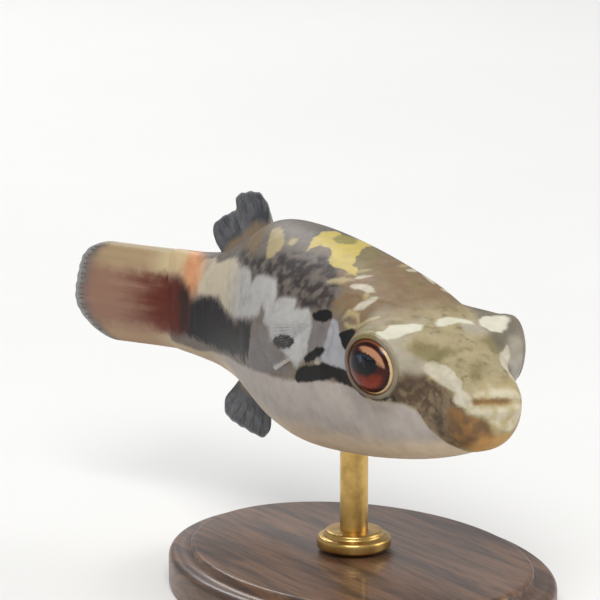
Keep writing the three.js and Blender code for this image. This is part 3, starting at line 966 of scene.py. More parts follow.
class Fin:
    """A fin: its rays from root to tip, the direction across its web, and its sizes."""

    def __init__(self, node, ray, across, sizes):
        self.node, self.ray, self.across, self.sizes = node, ray, across, sizes
        self.rays = sizes["rays"]

    def surface(self, u, v):
        """Middle surface of the fin at u across its rays and v out along them."""
        root, tip = self.ray(u)
        pleat = np.cos(2 * np.pi * u * (self.rays - 1))
        v_out = v * (1 + self.sizes["scallop"] * (pleat - 1) * v**3)
        point = root + (tip - root) * v_out[..., None]
        wave = self.sizes["fold"] * v * (np.sin(2 * np.pi * u * 1.6 + 0.8) + pleat * 0.12)
        return point + wave[..., None] * self.across

    def half_thickness(self, u, v):
        """Half the web's thickness, which shrinks towards the rim so that the web closes."""
        rim = self.sizes["rim_half"]
        thick = mixed(rim, self.sizes["root_half"], (1 - v) ** 2)
        edge = np.abs(2 * u - 1)
        if self.sizes["edge_power"]:
            thick = mixed(rim, thick, 1 - edge ** self.sizes["edge_power"])
        shut = np.clip(1 - v**24, 0, 1) * np.clip(1 - edge**60, 0, 1)
        return thick * (0.25 + 0.75 * np.sqrt(shut))

    def web(self):
        """The fin's closed membrane: two skins a little apart, shut all round the rim."""
        columns, steps = WEB_COLUMNS * (self.rays - 1) + 1, WEB_STEPS
        u, v = np.meshgrid(np.linspace(0, 1, columns), np.linspace(0, 1, steps), indexing="ij")
        middle = self.surface(u, v)
        offset = self.half_thickness(u, v)[..., None] * self.across
        points = np.vstack([(middle + offset).reshape(-1, 3), (middle - offset).reshape(-1, 3)])
        grid, other = np.arange(columns * steps).reshape(columns, steps), columns * steps
        faces = []
        for a, b in zip(grid[:-1, :-1].ravel().tolist(), grid[1:, :-1].ravel().tolist()):
            faces.append((a, b, b + 1, a + 1))
            faces.append((other + a, other + a + 1, other + b + 1, other + b))
        border = [grid[:, 0], grid[-1, 1:], grid[-2::-1, -1], grid[0, -2:0:-1]]
        border = np.concatenate(border).tolist()
        for a, b in zip(border, border[1:] + border[:1]):
            faces.append((b, a, other + a, other + b))
        web = mesh_object(f"{self.node}_web", points, faces, {
            "fin_reach": np.tile(v.ravel(), 2),
            "fin_spread": np.tile(u.ravel(), 2),
        })
        point_outwards(web.data)
        return web

    def ray_path(self, i):
        """Where ray i runs, as pieces of (u, v): inner rays fork once on their way out."""
        start, fork = self.sizes["start"], self.sizes["fork"]
        u = np.clip(i / (self.rays - 1), 0.012, 0.988)
        if i in (0, self.rays - 1):
            whole = np.linspace(start, RAY_END, RAY_STEPS)
            return [(np.full_like(whole, u), whole)]
        stem = np.linspace(start, fork, RAY_STEPS)
        branch = np.linspace(fork - 0.02, RAY_END, RAY_STEPS)
        part = RAY_SPREAD / (self.rays - 1) * smooth(branch, fork, 1.15)
        return [(np.full_like(stem, u), stem), (u - part, branch), (u + part, branch)]

    def round_rays(self, finish):
        """The fin's rays as round, tapered rods."""
        paths = [piece for i in range(self.rays) for piece in self.ray_path(i)]
        spread = np.clip(np.concatenate([u for u, _ in paths]), 0, 1)
        reach = np.concatenate([v for _, v in paths])
        edges = [(i, i + 1) for i in range(len(reach) - 1) if (i + 1) % RAY_STEPS]
        lines = mesh_object(f"{self.node}_rays", self.surface(spread, reach), [],
                            {"fin_reach": reach, "fin_spread": spread}, edges)
        return run_tree(lines, RAY_TREE, {
            "Root Radius": self.sizes["ray_root"] * MM, "Tip Radius": self.sizes["ray_tip"] * MM,
            "Sides": 6, "Material": finish,
        })


# ---------------- nodes and materials


def math_node(operation, swapped=False):
    """An operator that adds a Math node; swapped is for a number that comes first."""
    def method(self, other):
        first, second = (other, self) if swapped else (self, other)
        node = self.paint.node("ShaderNodeMath", {"operation": operation}, {0: first, 1: second})
        return Sum(self.paint, node.outputs[0])

    return method


class Sum:
    """A value socket that can be used in sums."""

    def __init__(self, paint, socket):
        self.paint = paint
        self.socket = socket

    __add__ = __radd__ = math_node("ADD")
    __sub__ = math_node("SUBTRACT")
    __rsub__ = math_node("SUBTRACT", swapped=True)
    __mul__ = __rmul__ = math_node("MULTIPLY")
    __truediv__ = math_node("DIVIDE")
    __pow__ = math_node("POWER")


class Nodes:
    """A node tree and a short way to add to it."""

    def __init__(self, tree):
        self.tree = tree

    def node(self, kind, settings=None, sockets=None):
        """Adds a node; its settings come first, then its sockets' values or links."""
        node = self.tree.nodes.new(kind)
        for key, value in (settings or {}).items():
            setattr(node, key, value)
        for key, value in (sockets or {}).items():
            self.feed(node.inputs[key], value)
        return node

    def feed(self, socket, value):
        if isinstance(value, Sum):
            value = value.socket
        if isinstance(value, bpy.types.NodeSocket):
            self.tree.links.new(value, socket)
        elif isinstance(value, tuple) and len(value) == 3 and len(socket.default_value) == 4:
            socket.default_value = (*value, 1.0)
        else:
            socket.default_value = value


class Paint(Nodes):
    """A material and short ways to add its nodes."""

    def __init__(self, name):
        self.material = bpy.data.materials.new(name)
        self.material.use_nodes = True
        super().__init__(self.material.node_tree)
        self.shader = self.tree.nodes["Principled BSDF"]

    def mark(self, name):
        """A value that the mesh carries on its points."""
        node = self.node("ShaderNodeAttribute", {"attribute_name": name})
        return Sum(self, node.outputs["Fac"])

    def place(self, stretch=(1.0, 1.0, 1.0)):
        """Object coordinates in millimetres, stretched."""
        where = self.node("ShaderNodeTexCoord").outputs["Object"]
        scale = tuple(x / MM for x in stretch)
        mapping = self.node("ShaderNodeMapping", None, {"Vector": where, "Scale": scale})
        return mapping.outputs["Vector"]

    def noise(self, where, scale, detail=3.0, roughness=0.55, distortion=0.0):
        node = self.node("ShaderNodeTexNoise", None, {
            "Vector": where, "Scale": scale, "Detail": detail, "Roughness": roughness,
            "Distortion": distortion,
        })
        return Sum(self, node.outputs["Fac"])

    def grain(self, scale, stretch=(1.0, 1.0, 1.0), detail=3.0):
        """Noise that is evenly above and below 0."""
        return self.noise(self.place(stretch), scale, detail) - 0.5

    def ramp(self, value, low, high):
        """0 up to low, 1 from high, and an even slope between."""
        node = self.node("ShaderNodeMapRange", {"interpolation_type": "SMOOTHSTEP"}, {
            "Value": value, "From Min": low, "From Max": high,
        })
        return Sum(self, node.outputs["Result"])

    def mix(self, share, first, second, blend="MIX"):
        """The second colour over the first by a share."""
        node = self.node("ShaderNodeMix", {"data_type": "RGBA", "blend_type": blend},
                         {0: share, 6: first, 7: second})
        return node.outputs[2]

    def laid(self, colour, *coats):
        """A colour with coats laid over it in turn, each a colour and its share."""
        for coat, share in coats:
            colour = self.mix(share, colour, coat)
        return colour

    def bump(self, height, distance, strength):
        return self.node("ShaderNodeBump", None, {
            "Height": height, "Distance": distance * MM, "Strength": strength,
        }).outputs["Normal"]

    def finish(self, **sockets):
        """Feeds the shader's sockets and gives the material."""
        for key, value in sockets.items():
            self.feed(self.shader.inputs[key.replace("_", " ")], value)
        return self.material


def ray_tree():
    """Geometry nodes that turn middle lines into round, tapered fin rays."""
    tree = bpy.data.node_groups.new("fin rays", "GeometryNodeTree")
    for label, way, kind in (
        ("Lines", "INPUT", "Geometry"), ("Root Radius", "INPUT", "Float"),
        ("Tip Radius", "INPUT", "Float"), ("Sides", "INPUT", "Int"),
        ("Material", "INPUT", "Material"), ("Rays", "OUTPUT", "Geometry"),
    ):
        tree.interface.new_socket(label, in_out=way, socket_type=f"NodeSocket{kind}")
    add = Nodes(tree).node
    given = add("NodeGroupInput").outputs
    curve = add("GeometryNodeMeshToCurve", None, {"Mesh": given["Lines"]})
    reach = add("GeometryNodeInputNamedAttribute", {"data_type": "FLOAT"}, {"Name": "fin_reach"})
    taper = add("ShaderNodeMapRange", None, {
        "Value": reach.outputs["Attribute"], "To Min": given["Root Radius"],
        "To Max": given["Tip Radius"],
    })
    ring = add("GeometryNodeCurvePrimitiveCircle", None,
               {"Resolution": given["Sides"], "Radius": 1.0})
    tube = add("GeometryNodeCurveToMesh", None, {
        "Curve": curve.outputs["Curve"], "Profile Curve": ring.outputs["Curve"],
        "Scale": taper.outputs["Result"], "Fill Caps": True,
    })
    real = add("GeometryNodeRealizeInstances", None, {"Geometry": tube.outputs["Mesh"]})
    paint = add("GeometryNodeSetMaterial", None, {
        "Geometry": real.outputs["Geometry"], "Material": given["Material"],
    })
    add("NodeGroupOutput", None, {"Rays": paint.outputs["Geometry"]})
    return tree


RAY_TREE = ray_tree()


def run_tree(piece, tree, values):
    """Sets a tree's inputs by their identifiers, then keeps its result as a plain mesh."""
    modifier = piece.modifiers.new(tree.name, "NODES")
    modifier.node_group = tree
    for item in tree.interface.items_tree:
        if item.item_type == "SOCKET" and item.in_out == "INPUT" and item.name in values:
            modifier[item.identifier] = values[item.name]
    baked(piece)
    piece.data.shade_smooth()
    return piece


def tone(red, green, blue):
    """A colour from its screen values, 0 to 255, as light."""
    def light(value):
        value /= 255
        return value / 12.92 if value <= 0.04045 else ((value + 0.055) / 1.055) ** 2.4

    return light(red), light(green), light(blue)


# ---------------- skin paint

FOREHEAD = tone(156, 143, 110)
NAPE = tone(122, 99, 72)
LOIN = tone(104, 97, 90)
FLANK = tone(108, 98, 90)
UMBER = tone(50, 46, 46)
UMBER_LIGHT = tone(122, 112, 104)
YELLOW = tone(188, 168, 84)
DUN = tone(172, 156, 114)
OCHRE = tone(124, 104, 78)
OLIVE = tone(116, 106, 68)
MOSS = tone(112, 106, 58)
CREAM = tone(200, 196, 176)
PALE = tone(195, 187, 166)
SAND = tone(152, 144, 128)
CLOUD_GREY = tone(167, 165, 162)
CLOUD_WARM = tone(184, 172, 150)
GILL_COVER = tone(147, 146, 149)
ASH = tone(110, 105, 104)
SOOT = tone(20, 18, 20)
SOOT_LIGHT = tone(44, 42, 41)
SOOT_WARM = tone(36, 18, 13)
BLACK = tone(13, 12, 14)
CHEEK = tone(122, 105, 82)
CHEEK_DARK = tone(84, 68, 52)
CHEEK_LIGHT = tone(146, 134, 114)
BRUISE = tone(70, 54, 44)
CHIN = tone(130, 94, 55)
CHIN_EDGE = tone(182, 136, 78)
# Pale lip colour, also used as painted highlight on the left of the muzzle and chin.
LIP_AND_HIGHLIGHT = tone(197, 189, 165)
LIP_WARM = tone(170, 151, 106)
# Painted shade in the mouth's slit, brown where the lips close.
MOUTH_SLIT_SHADE = tone(122, 84, 42)
BELLY_LILAC = tone(166, 156, 148)
# Painted warm reflection along the belly's underside.
BELLY_WARM_REFLECTION = tone(204, 184, 158)
SALMON = tone(208, 148, 106)
MAROON = tone(84, 26, 9)
STALK_RIM = tone(166, 146, 118)
STALK_TOP = tone(190, 172, 134)
LID_BACK = tone(112, 96, 82)
LID_FRONT = tone(128, 117, 98)
# Painted shadow of the eye socket: a dark line where the lid meets the eyeball.
LID_SHADOW = tone(84, 64, 50)
LID_HALO = tone(166, 160, 150)
FAR_HALO = tone(104, 97, 86)
SHADE_DARK = tone(70, 70, 70)
SHADE_LIGHT = tone(245, 245, 245)


def skin_paint():
    """Back, flanks, belly and every mark, with edges as uneven as on live skin."""
    paint = Paint("puffer skin")
    ramp, mix, laid, mark = paint.ramp, paint.mix, paint.laid, paint.mark
    where = paint.place()
    along, around, aside, rise = mark("along"), mark("around"), mark("aside"), mark("rise")
    from_eye, eye_fore, eye_height = mark("from_eye"), mark("eye_fore"), mark("eye_height")
    coarse, middle, fine = paint.grain(0.55), paint.grain(1.5), paint.grain(4.5)
    wobble = coarse * 0.5 + middle * 0.65 + fine * 0.15

    def inside(name, soft, rough):
        """1 inside a mark: its edge is soft over that many millimetres, and uneven."""
        return ramp(mark(name) + wobble * rough, -soft, soft)

    mottled = ramp(paint.noise(where, 1.1, 1.5) + fine * 0.1, 0.38, 0.66)
    dusky = ramp(coarse + middle * 0.5, -0.02, 0.2)
    smoky = ramp(mark("umber") + coarse * 1.6 + middle * 0.4, -0.5, 0.35)
    back = laid(
        FOREHEAD,
        (NAPE, ramp(along + coarse * 3, 7.5, 12.0)),
        (LOIN, ramp(along + coarse * 5, 17.0, 24.0)),
        (FLANK, ramp(around + coarse * 14, 42, 58) * ramp(along, 11.0, 15.0)),
        (CHEEK_LIGHT, ramp(middle, 0.0, 0.22) * 0.35),
        (OLIVE, dusky * ramp(along, 24.0, 16.0) * 0.6),
        (CHEEK_DARK, ramp(middle - coarse * 0.4, 0.06, 0.26) * 0.35),
        (mix(mottled * 0.65, UMBER, UMBER_LIGHT), smoky * 0.94),
        (OCHRE, inside("ochre", 0.6, 1.4) * 0.8),
    )
    cheek = laid(
        CHEEK,
        (CHEEK_DARK, ramp(coarse + middle * 0.8, -0.12, 0.16)),
        (CHEEK_LIGHT, ramp(middle - coarse * 0.5, 0.06, 0.2) * 0.5),
        (BRUISE, inside("bruise", 0.4, 1.2) * 0.75),
    )
    halo = ramp(from_eye + wobble, 3.2, 2.6) * ramp(eye_fore, 0.2, 1.8)
    far_halo = ramp(from_eye + wobble, 4.4, 3.2) * ramp(eye_height, -3.6, -2.4)
    head = laid(
        back,
        (LID_HALO, halo * 0.55),
        (OLIVE, inside("olive", 0.35, 1.0) * 0.75),
        (cheek, inside("cheek", 0.25, 0.9)),
        (mix(ramp(rise, 3.2, 2.2), FAR_HALO, LID_HALO), far_halo * ramp(aside, 1.5, 3.0) * 0.85),
        (SAND, inside("sand", 0.4, 1.0) * 0.8),
        (mix(mottled * 0.4, PALE, SAND), inside("pale", 0.16, 0.8) * 0.9),
        (DUN, inside("dun", 0.22, 0.9) * 0.8),
        (CREAM, inside("cream", 0.13, 0.5) * 0.96),
        (mix(mottled * 0.4, YELLOW, DUN), inside("yellow", 0.1, 1.0) * 0.95),
        (MOSS, inside("moss", 0.2, 0.8) * 0.75),
    )
    cloud = laid(
        CLOUD_GREY,
        (CLOUD_WARM, ramp(along + coarse * 3, 29, 35)),
        (ASH, ramp(coarse + middle * 0.4, -0.02, 0.3) * 0.45),
    )
    streaks = paint.grain(1.0, (0.25, 0.85, 0.16))
    soot = mix(ramp(streaks, 0.02, 0.2) * 0.55, SOOT, SOOT_LIGHT)
    stalk_top = inside("salmon", 0.5, 0.8) * ramp(along + wobble * 1.4, 41.4, 43.0)
    stalk_soot = inside("maroon", 0.5, 1.2) * ramp(along + wobble * 1.5, 43.2, 42.0)
    flank = laid(
        head,
        (ASH, inside("ash", 0.35, 0.8) * 0.9),
        (cloud, inside("cloud", 0.26, 0.7)),
        (GILL_COVER, inside("gill_cover", 0.16, 0.6)),
        (soot, inside("soot", 0.3, 1.6)),
        (SALMON, inside("salmon", 0.8, 1.6) * 0.9),
        (STALK_TOP, stalk_top * 0.9),
        (MAROON, inside("maroon", 0.6, 1.4)),
        (SOOT_WARM, stalk_soot * 0.9),
    )
    belly = laid(
        BELLY_LILAC,
        # painted warm reflection on the underside of the belly
        (BELLY_WARM_REFLECTION, ramp(around + coarse * 16, 120, 142)),
        (CLOUD_GREY, ramp(middle, 0.02, 0.25) * 0.3),
        (STALK_RIM, ramp(along, 35.0, 38.0) * 0.8),
    )
    front = ramp(along, 2.5, 1.7)
    lip_edge = mark("from_lips") + fine * 0.3 + middle * 0.35
    # Painted shade along the mouth's slit, between the lips.
    slit = ramp(lip_edge, 0.46, 0.08) * ramp(lip_edge, -0.34, 0.0)
    slit = slit * ramp(aside, -2.1, -1.7) * ramp(aside, 1.7, 0.7)
    lip_corner = ramp(aside, -1.6, 0.2) * ramp(rise, 2.4, 1.4)
    chin_edge = ramp(rise + middle * 0.6, -1.7, -2.4) * ramp(aside, -1.8, -0.8)
    body = laid(
        flank,
        (belly, inside("belly", 0.2, 0.5)),
        (LIP_WARM, front * lip_corner * 0.5),
        (mix(mottled * 0.65, CHIN, CHEEK_DARK), front * inside("chin", 0.35, 0.8) * 0.92),
        (CHIN_EDGE, front * chin_edge * 0.8),
        # pale lips, and painted highlight on the left of the muzzle and chin
        (mix(mottled * 0.75, LIP_AND_HIGHLIGHT, LIP_WARM), front * inside("lip", 0.26, 1.0) * 0.88),
        # painted shade in the mouth's slit
        (MOUTH_SLIT_SHADE, front * slit * 0.8),
        (BLACK, inside("black", 0.1, 0.7) * 0.97),
    )
    brow = ramp(rise, 4.0, 4.4) * ramp(eye_fore + wobble, 0.9, 0.5) * ramp(eye_fore, -2.2, -1.6)
    lid = laid(
        LID_BACK,
        (LID_FRONT, ramp(eye_fore + rise * 0.3 + coarse, -0.6, 1.6)),
        (OLIVE, brow * 0.9),
        # painted shadow where the lid meets the eyeball
        (LID_SHADOW, ramp(from_eye, 2.24, 2.14)),
    )
    on_lid = ramp(from_eye + wobble * 0.1, 2.62, 2.44) * ramp(eye_height, -0.7, -0.4)
    shade = mix(paint.noise(where, 0.9, 3.0, 0.5), SHADE_DARK, SHADE_LIGHT)
    pores = paint.noise(where, 5.0, 4.0, 0.6) + paint.noise(where, 1.6, 2.0) * 0.6
    return paint.finish(
        Base_Color=mix(0.42, mix(on_lid, body, lid), shade, "SOFT_LIGHT"),
        Roughness=0.42 + paint.noise(where, 9.0, 2.0) * 0.2,
        Specular_IOR_Level=0.16,
        Coat_Weight=0.05,
        Coat_Roughness=0.25,
        Normal=paint.bump(pores, 0.05, 0.5),
    )


# ---------------- eye paint

GOLD_WARM = tone(196, 126, 74)
GOLD_PALE = tone(206, 176, 130)
IRIS_RED = tone(52, 6, 1)
IRIS_GLOW = tone(122, 38, 2)
IRIS_DARK = tone(34, 10, 7)
# Painted shade from the upper lid, on the top of the gold rim.
UPPER_LID_SHADE = tone(112, 62, 36)
PUPIL = tone(9, 8, 12)
# Painted reflection: blue-grey, on the upper left of the pupil.
PUPIL_REFLECTION = tone(74, 82, 98)
# Painted highlight: peach light on the top of the iris.
IRIS_HIGHLIGHT = tone(178, 128, 96)
BALL_GREY = tone(118, 112, 108)


def eye_paint():
    """A red iris below a wide dark pupil with a painted reflection, a painted peach highlight over
    it, and a gold rim with painted shade from the upper lid on its top.
    """
    paint = Paint("puffer eye")
    ramp = paint.ramp
    fore, up = paint.mark("eye_fore"), paint.mark("eye_up")
    radius = (fore * fore + up * up) ** 0.5
    fibres, patches = paint.grain(5.0), paint.grain(1.6, detail=2.0)
    wide, tall = (fore + 0.15) / 1.32, (up - 0.46) / 0.84
    pupil = (wide * wide + tall * tall) ** 0.5 + fibres * 0.35
    glow = ramp(fibres * 1.2 + patches * 0.8 - up * 0.7, 0.0, 0.8) * ramp(radius, 1.75, 1.35)
    # Painted reflection on the upper left of the pupil.
    pupil_reflection = ramp(patches + fibres * 0.5 + up * 0.3, 0.18, 0.5) * ramp(pupil, 0.95, 0.5)
    # Painted highlight: a peach band on the upper iris, above the pupil.
    above = ramp(up * 0.85 + fore * 0.45 + fibres * 0.4, 0.8, 1.15)
    band = above * ramp(pupil, 0.86, 1.0) * ramp(radius + fibres * 0.1, 1.74, 1.6)
    gold = paint.laid(
        GOLD_WARM,
        (GOLD_PALE, ramp(fore - up * 0.25 + patches, -0.4, 1.5)),
        # painted shade from the upper lid on the rim's top
        (UPPER_LID_SHADE, ramp(up - fore * 0.4, 0.6, 1.5)),
    )
    colour = paint.laid(
        IRIS_RED,
        (IRIS_GLOW, glow),
        (IRIS_DARK, ramp(fibres, 0.02, 0.16) * 0.55),
        (IRIS_DARK, ramp(pupil, 1.25, 0.95)),
        (PUPIL, ramp(pupil, 1.02, 0.86)),
        # painted reflection on the pupil
        (PUPIL_REFLECTION, pupil_reflection * 0.8),
        # painted highlight on the upper iris
        (IRIS_HIGHLIGHT, band * 0.85),
        (IRIS_DARK, ramp(radius, 1.7, 1.88)),
        (gold, ramp(radius + fibres * 0.06, 1.9, 1.98)),
        (BALL_GREY, ramp(radius, 2.12, 2.17)),
    )
    return paint.finish(Base_Color=colour, Roughness=0.35, Specular_IOR_Level=0.1,
                        Coat_Weight=0.3, Coat_Roughness=0.03)


# ---------------- fin paint

TAIL_TAN = tone(136, 102, 84)
TAIL_UPPER = tone(164, 140, 106)
TAIL_LOWER = tone(150, 124, 98)
TAIL_SMOKE = tone(108, 96, 90)
TAIL_RUST = tone(100, 50, 34)
TAIL_RAY = tone(158, 124, 104)
TAIL_RIM = tone(92, 86, 84)
TAIL_EDGE = tone(196, 182, 158)
WEB_DARK = tone(44, 46, 51)
WEB_GREY = tone(78, 78, 83)
WEB_ROOT = tone(122, 102, 78)
WEB_FRONT = tone(150, 142, 132)
WEB_RIM = tone(134, 136, 142)
CLEAR_DULL = tone(150, 146, 144)
CLEAR_PALE = tone(178, 176, 176)
CLEAR_EDGE = tone(204, 198, 188)


def tail_paint(name, solid):
    """Maroon at the root, fading to a grey clear rim, with a cream upper edge."""
    paint = Paint(name)
    ramp = paint.ramp
    reach, spread = paint.mark("fin_reach"), paint.mark("fin_spread")
    cloud, fine = paint.grain(0.7), paint.grain(4.0)
    stretched = paint.node("ShaderNodeCombineXYZ", None, {"X": spread * 9, "Y": reach * 1.3})
    rays = paint.noise(stretched.outputs[0], 1.0) - 0.5
    out = reach + cloud * 0.2 + rays * 0.5
    band = spread + cloud * 0.24 + rays * 0.16
    heart = ramp(band, 0.1, 0.3) * ramp(band, 0.8, 0.6)
    high = ramp(spread + cloud * 0.2, 0.68, 0.84) * ramp(reach + cloud * 0.2, 0.4, 0.12)
    low = paint.mix(ramp(reach, 0.4, 0.12), TAIL_LOWER, STALK_RIM)
    pale_rays = ramp(rays + fine * 0.1, 0.0, 0.24) * ramp(reach, 0.16, 0.4)
    colour = paint.laid(
        TAIL_TAN,
        (TAIL_UPPER, ramp(band, 0.62, 0.86)),
        (low, ramp(band, 0.24, 0.06)),
        (TAIL_SMOKE, ramp(reach + cloud * 0.16, 0.8, 0.96)),
        (TAIL_RUST, heart * ramp(out, 0.7, 0.2)),
        (MAROON, heart * ramp(out, 0.4, 0.12)),
        (STALK_TOP, high),
        (TAIL_RAY, pale_rays * 0.4),
        (TAIL_RIM, ramp(reach + cloud * 0.06, 0.9, 0.98)),
        (TAIL_EDGE, ramp(spread + fine * 0.03, 0.945, 0.985) * 0.75),
    )
    alpha = 1.0 - ramp(reach + cloud * 0.08, 0.86, 1.0) * (0.15 if solid else 0.45)
    return paint.finish(Base_Color=colour, Roughness=0.48 + fine * 0.15, Specular_IOR_Level=0.3,
                        Alpha=alpha, Normal=paint.bump(rays + fine * 0.4, 0.06, 0.5))


def grey_paint(name, solid):
    """Blue-grey clear web, brown at the root, with a lighter front edge."""
    paint = Paint(name)
    ramp = paint.ramp
    reach, spread = paint.mark("fin_reach"), paint.mark("fin_spread")
    cloud, fine = paint.grain(0.8), paint.grain(4.0)
    colour = paint.laid(
        WEB_DARK,
        (WEB_GREY, ramp(cloud, -0.12, 0.16)),
        (WEB_ROOT, ramp(reach + cloud * 0.3, 0.46, 0.22)),
        (WEB_FRONT, ramp(spread, 0.1, 0.02) * 0.6),
        (WEB_RIM, ramp(reach, 0.93, 0.99) * 0.4),
    )
    alpha = 0.97 - ramp(reach + cloud * 0.2, 0.3, 0.75) * (0.05 if solid else 0.17)
    return paint.finish(Base_Color=colour, Roughness=0.4 + fine * 0.15, Alpha=alpha,
                        Normal=paint.bump(fine, 0.05, 0.4))


def clear_paint(name, solid):
    """Thin web that is almost clear, with a whitish lower edge."""
    paint = Paint(name)
    reach, cloud = paint.mark("fin_reach"), paint.grain(1.1)
    edge = paint.ramp(paint.mark("fin_spread") + cloud * 0.05, 0.86, 0.94)
    colour = paint.laid(CLEAR_DULL, (CLEAR_PALE, paint.ramp(cloud, -0.1, 0.2)), (CLEAR_EDGE, edge))
    if solid:
        alpha = 0.05 - paint.ramp(reach, 0.2, 1.0) * 0.03 + edge * 0.14
    else:
        alpha = 0.05 + cloud * 0.1 + paint.ramp(reach, 0.25, 0.02) * 0.2 + edge * 0.2
    return paint.finish(Base_Color=colour, Roughness=0.5 + cloud * 0.2, Specular_IOR_Level=0.2,
                        Alpha=alpha)


# ---------------- stand

BASE = {"length": 36.0, "width": 27.0, "height": 3.6, "step_in": 1.5, "step_down": 0.7}
ROD = {"radius": 1.1, "station": 0.47, "foot": 1.6, "top": 13.0}
COLLAR = {"outer": 2.9, "bore": 0.99, "step_in": 0.55, "step_down": 0.45}
CORNER_STEPS = 7
WALNUT_DARK = tone(62, 42, 30)
WALNUT = tone(112, 80, 56)
WALNUT_PORE = tone(42, 29, 22)
BRASS = tone(206, 172, 104)
BRASS_STAIN = tone(178, 142, 82)


def lathed(name, profile, columns, centre=(0.0, 0.0), stretch=1.0):
    """A closed shape turned from (radius, height) points, lowest first."""
    def spin(radius, height, around):
        x = centre[0] + radius * np.cos(around)
        y = centre[1] + stretch * radius * np.sin(around)
        return np.stack([x, y, height], -1)

    radius, height = np.array(profile, float).T
    return turned(name, radius, height, columns, spin)


def rounded(corner, radius, upwards=1):
    """Points round a profile's outer corner, lowest first; upwards is -1 for a lower corner."""
    turn = np.linspace(0, np.pi / 2, CORNER_STEPS)
    x = corner[0] - radius * (1 - np.cos(turn))
    z = corner[1] - upwards * radius * (1 - np.sin(turn))
    return list(zip(x, z))[::upwards]


def make_base():
    """An oval wooden foot with eased edges and a shallow step round its top."""
    half, top = BASE["width"] / 2, BASE["height"]
    step_in, step_down = BASE["step_in"], BASE["step_down"]
    profile = [(0.3, 0.0), (half - 0.6, 0.0)]
    profile += rounded((half, 0.0), 0.35, -1)
    profile += rounded((half, top - step_down), 0.7)
    profile += [(half - step_in, top - step_down + 0.02)]
    profile += rounded((half - step_in - 0.05, top), 0.4)
    profile += [(0.7 * half, top), (0.4 * half, top), (0.3, top)]
    return lathed("stand_foot", profile, 160, stretch=BASE["length"] / BASE["width"])


def make_rod():
    """The brass rod, straight up from the foot into the belly."""
    heights = np.linspace(ROD["foot"], ROD["top"], 14)
    profile = [(0.2, ROD["foot"])] + [(ROD["radius"], z) for z in heights] + [(0.2, ROD["top"])]
    return lathed("stand_post", profile, 48, place(ROD["station"], 0, 0)[:2])


def make_collar():
    """The brass collar that seats the rod on the foot, where its solid is."""
    low, high = np.array(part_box("stand_collar")) / MM
    foot, top, outer = low[2], high[2], COLLAR["outer"]
    step_in, step_down = COLLAR["step_in"], COLLAR["step_down"]
    profile = [(COLLAR["bore"], foot)] + rounded((outer, foot), 0.25, -1)
    profile += rounded((outer, top - step_down), 0.3)
    profile += [(outer - step_in, top - step_down + 0.03)]
    profile += rounded((outer - step_in - 0.05, top), 0.25) + [(COLLAR["bore"], top)]
    return lathed("stand_ferrule", profile, 96, (low[:2] + high[:2]) / 2)


def wood_paint():
    """Dark oiled wood with its grain along the foot."""
    paint = Paint("oiled walnut")
    lines = paint.noise(paint.place((1.0, 0.09, 1.0)), 0.9, 5.0, 0.6, 0.6)
    pores = paint.noise(paint.place((1.0, 0.05, 1.0)), 5.0, 3.0, 0.6)
    colour = paint.laid(WALNUT_DARK, (WALNUT, paint.ramp(lines, 0.36, 0.64)),
                        (WALNUT_PORE, paint.ramp(pores, 0.52, 0.68) * 0.5))
    return paint.finish(Base_Color=colour, Roughness=0.34 + pores * 0.2, Coat_Weight=0.2,
                        Normal=paint.bump(pores + lines * 0.5, 0.06, 0.35))


def brass_paint():
    """Brushed brass, a little darker in places."""
    paint = Paint("brushed brass")
    brushed = paint.noise(paint.place((1.0, 1.0, 6.0)), 2.2)
    stain = paint.ramp(paint.noise(paint.place(), 0.7), 0.35, 0.7)
    return paint.finish(Base_Color=paint.mix(stain, BRASS, BRASS_STAIN), Metallic=1.0,
                        Roughness=0.24 + brushed * 0.16, Normal=paint.bump(brushed, 0.015, 0.4))


# ---------------- make the pieces

# Each fin's number of rays, the fold of its web, the scallop of its rim, half its thickness at
# the root and at the rim, its rays' radius at root and tip, where they start and fork along
# its reach, and for a web with two thin edges how late it thins towards them.
FIN_COLUMNS = (
    "rays", "fold", "scallop", "root_half", "rim_half", "ray_root", "ray_tip", "start", "fork",
    "edge_power",
)
FIN_SIZES = {
    "tail": (11, 0.22, 0.005, 0.80, 0.07, 0.15, 0.050, 0.06, 0.46, 3),
    "dorsal": (11, 0.16, 0.012, 0.40, 0.06, 0.10, 0.035, 0.10, 0.50, 0),
    "anal": (10, 0.16, 0.012, 0.36, 0.06, 0.10, 0.035, 0.10, 0.50, 0),
    "pectoral": (15, 0.20, 0.012, 0.22, 0.05, 0.06, 0.024, 0.05, 0.55, 0),
}
TAIL_HEADING = 1.1  # stations whose headings the webs take
UPRIGHT_HEADING = 0.8

parts = []


def keep(piece, slot_name, finish, *nodes):
    """Finishes a piece and notes its slot and the solids it stands for."""
    if finish:
        piece.data.materials.append(finish)
    parts.append((piece, slot_name, nodes))


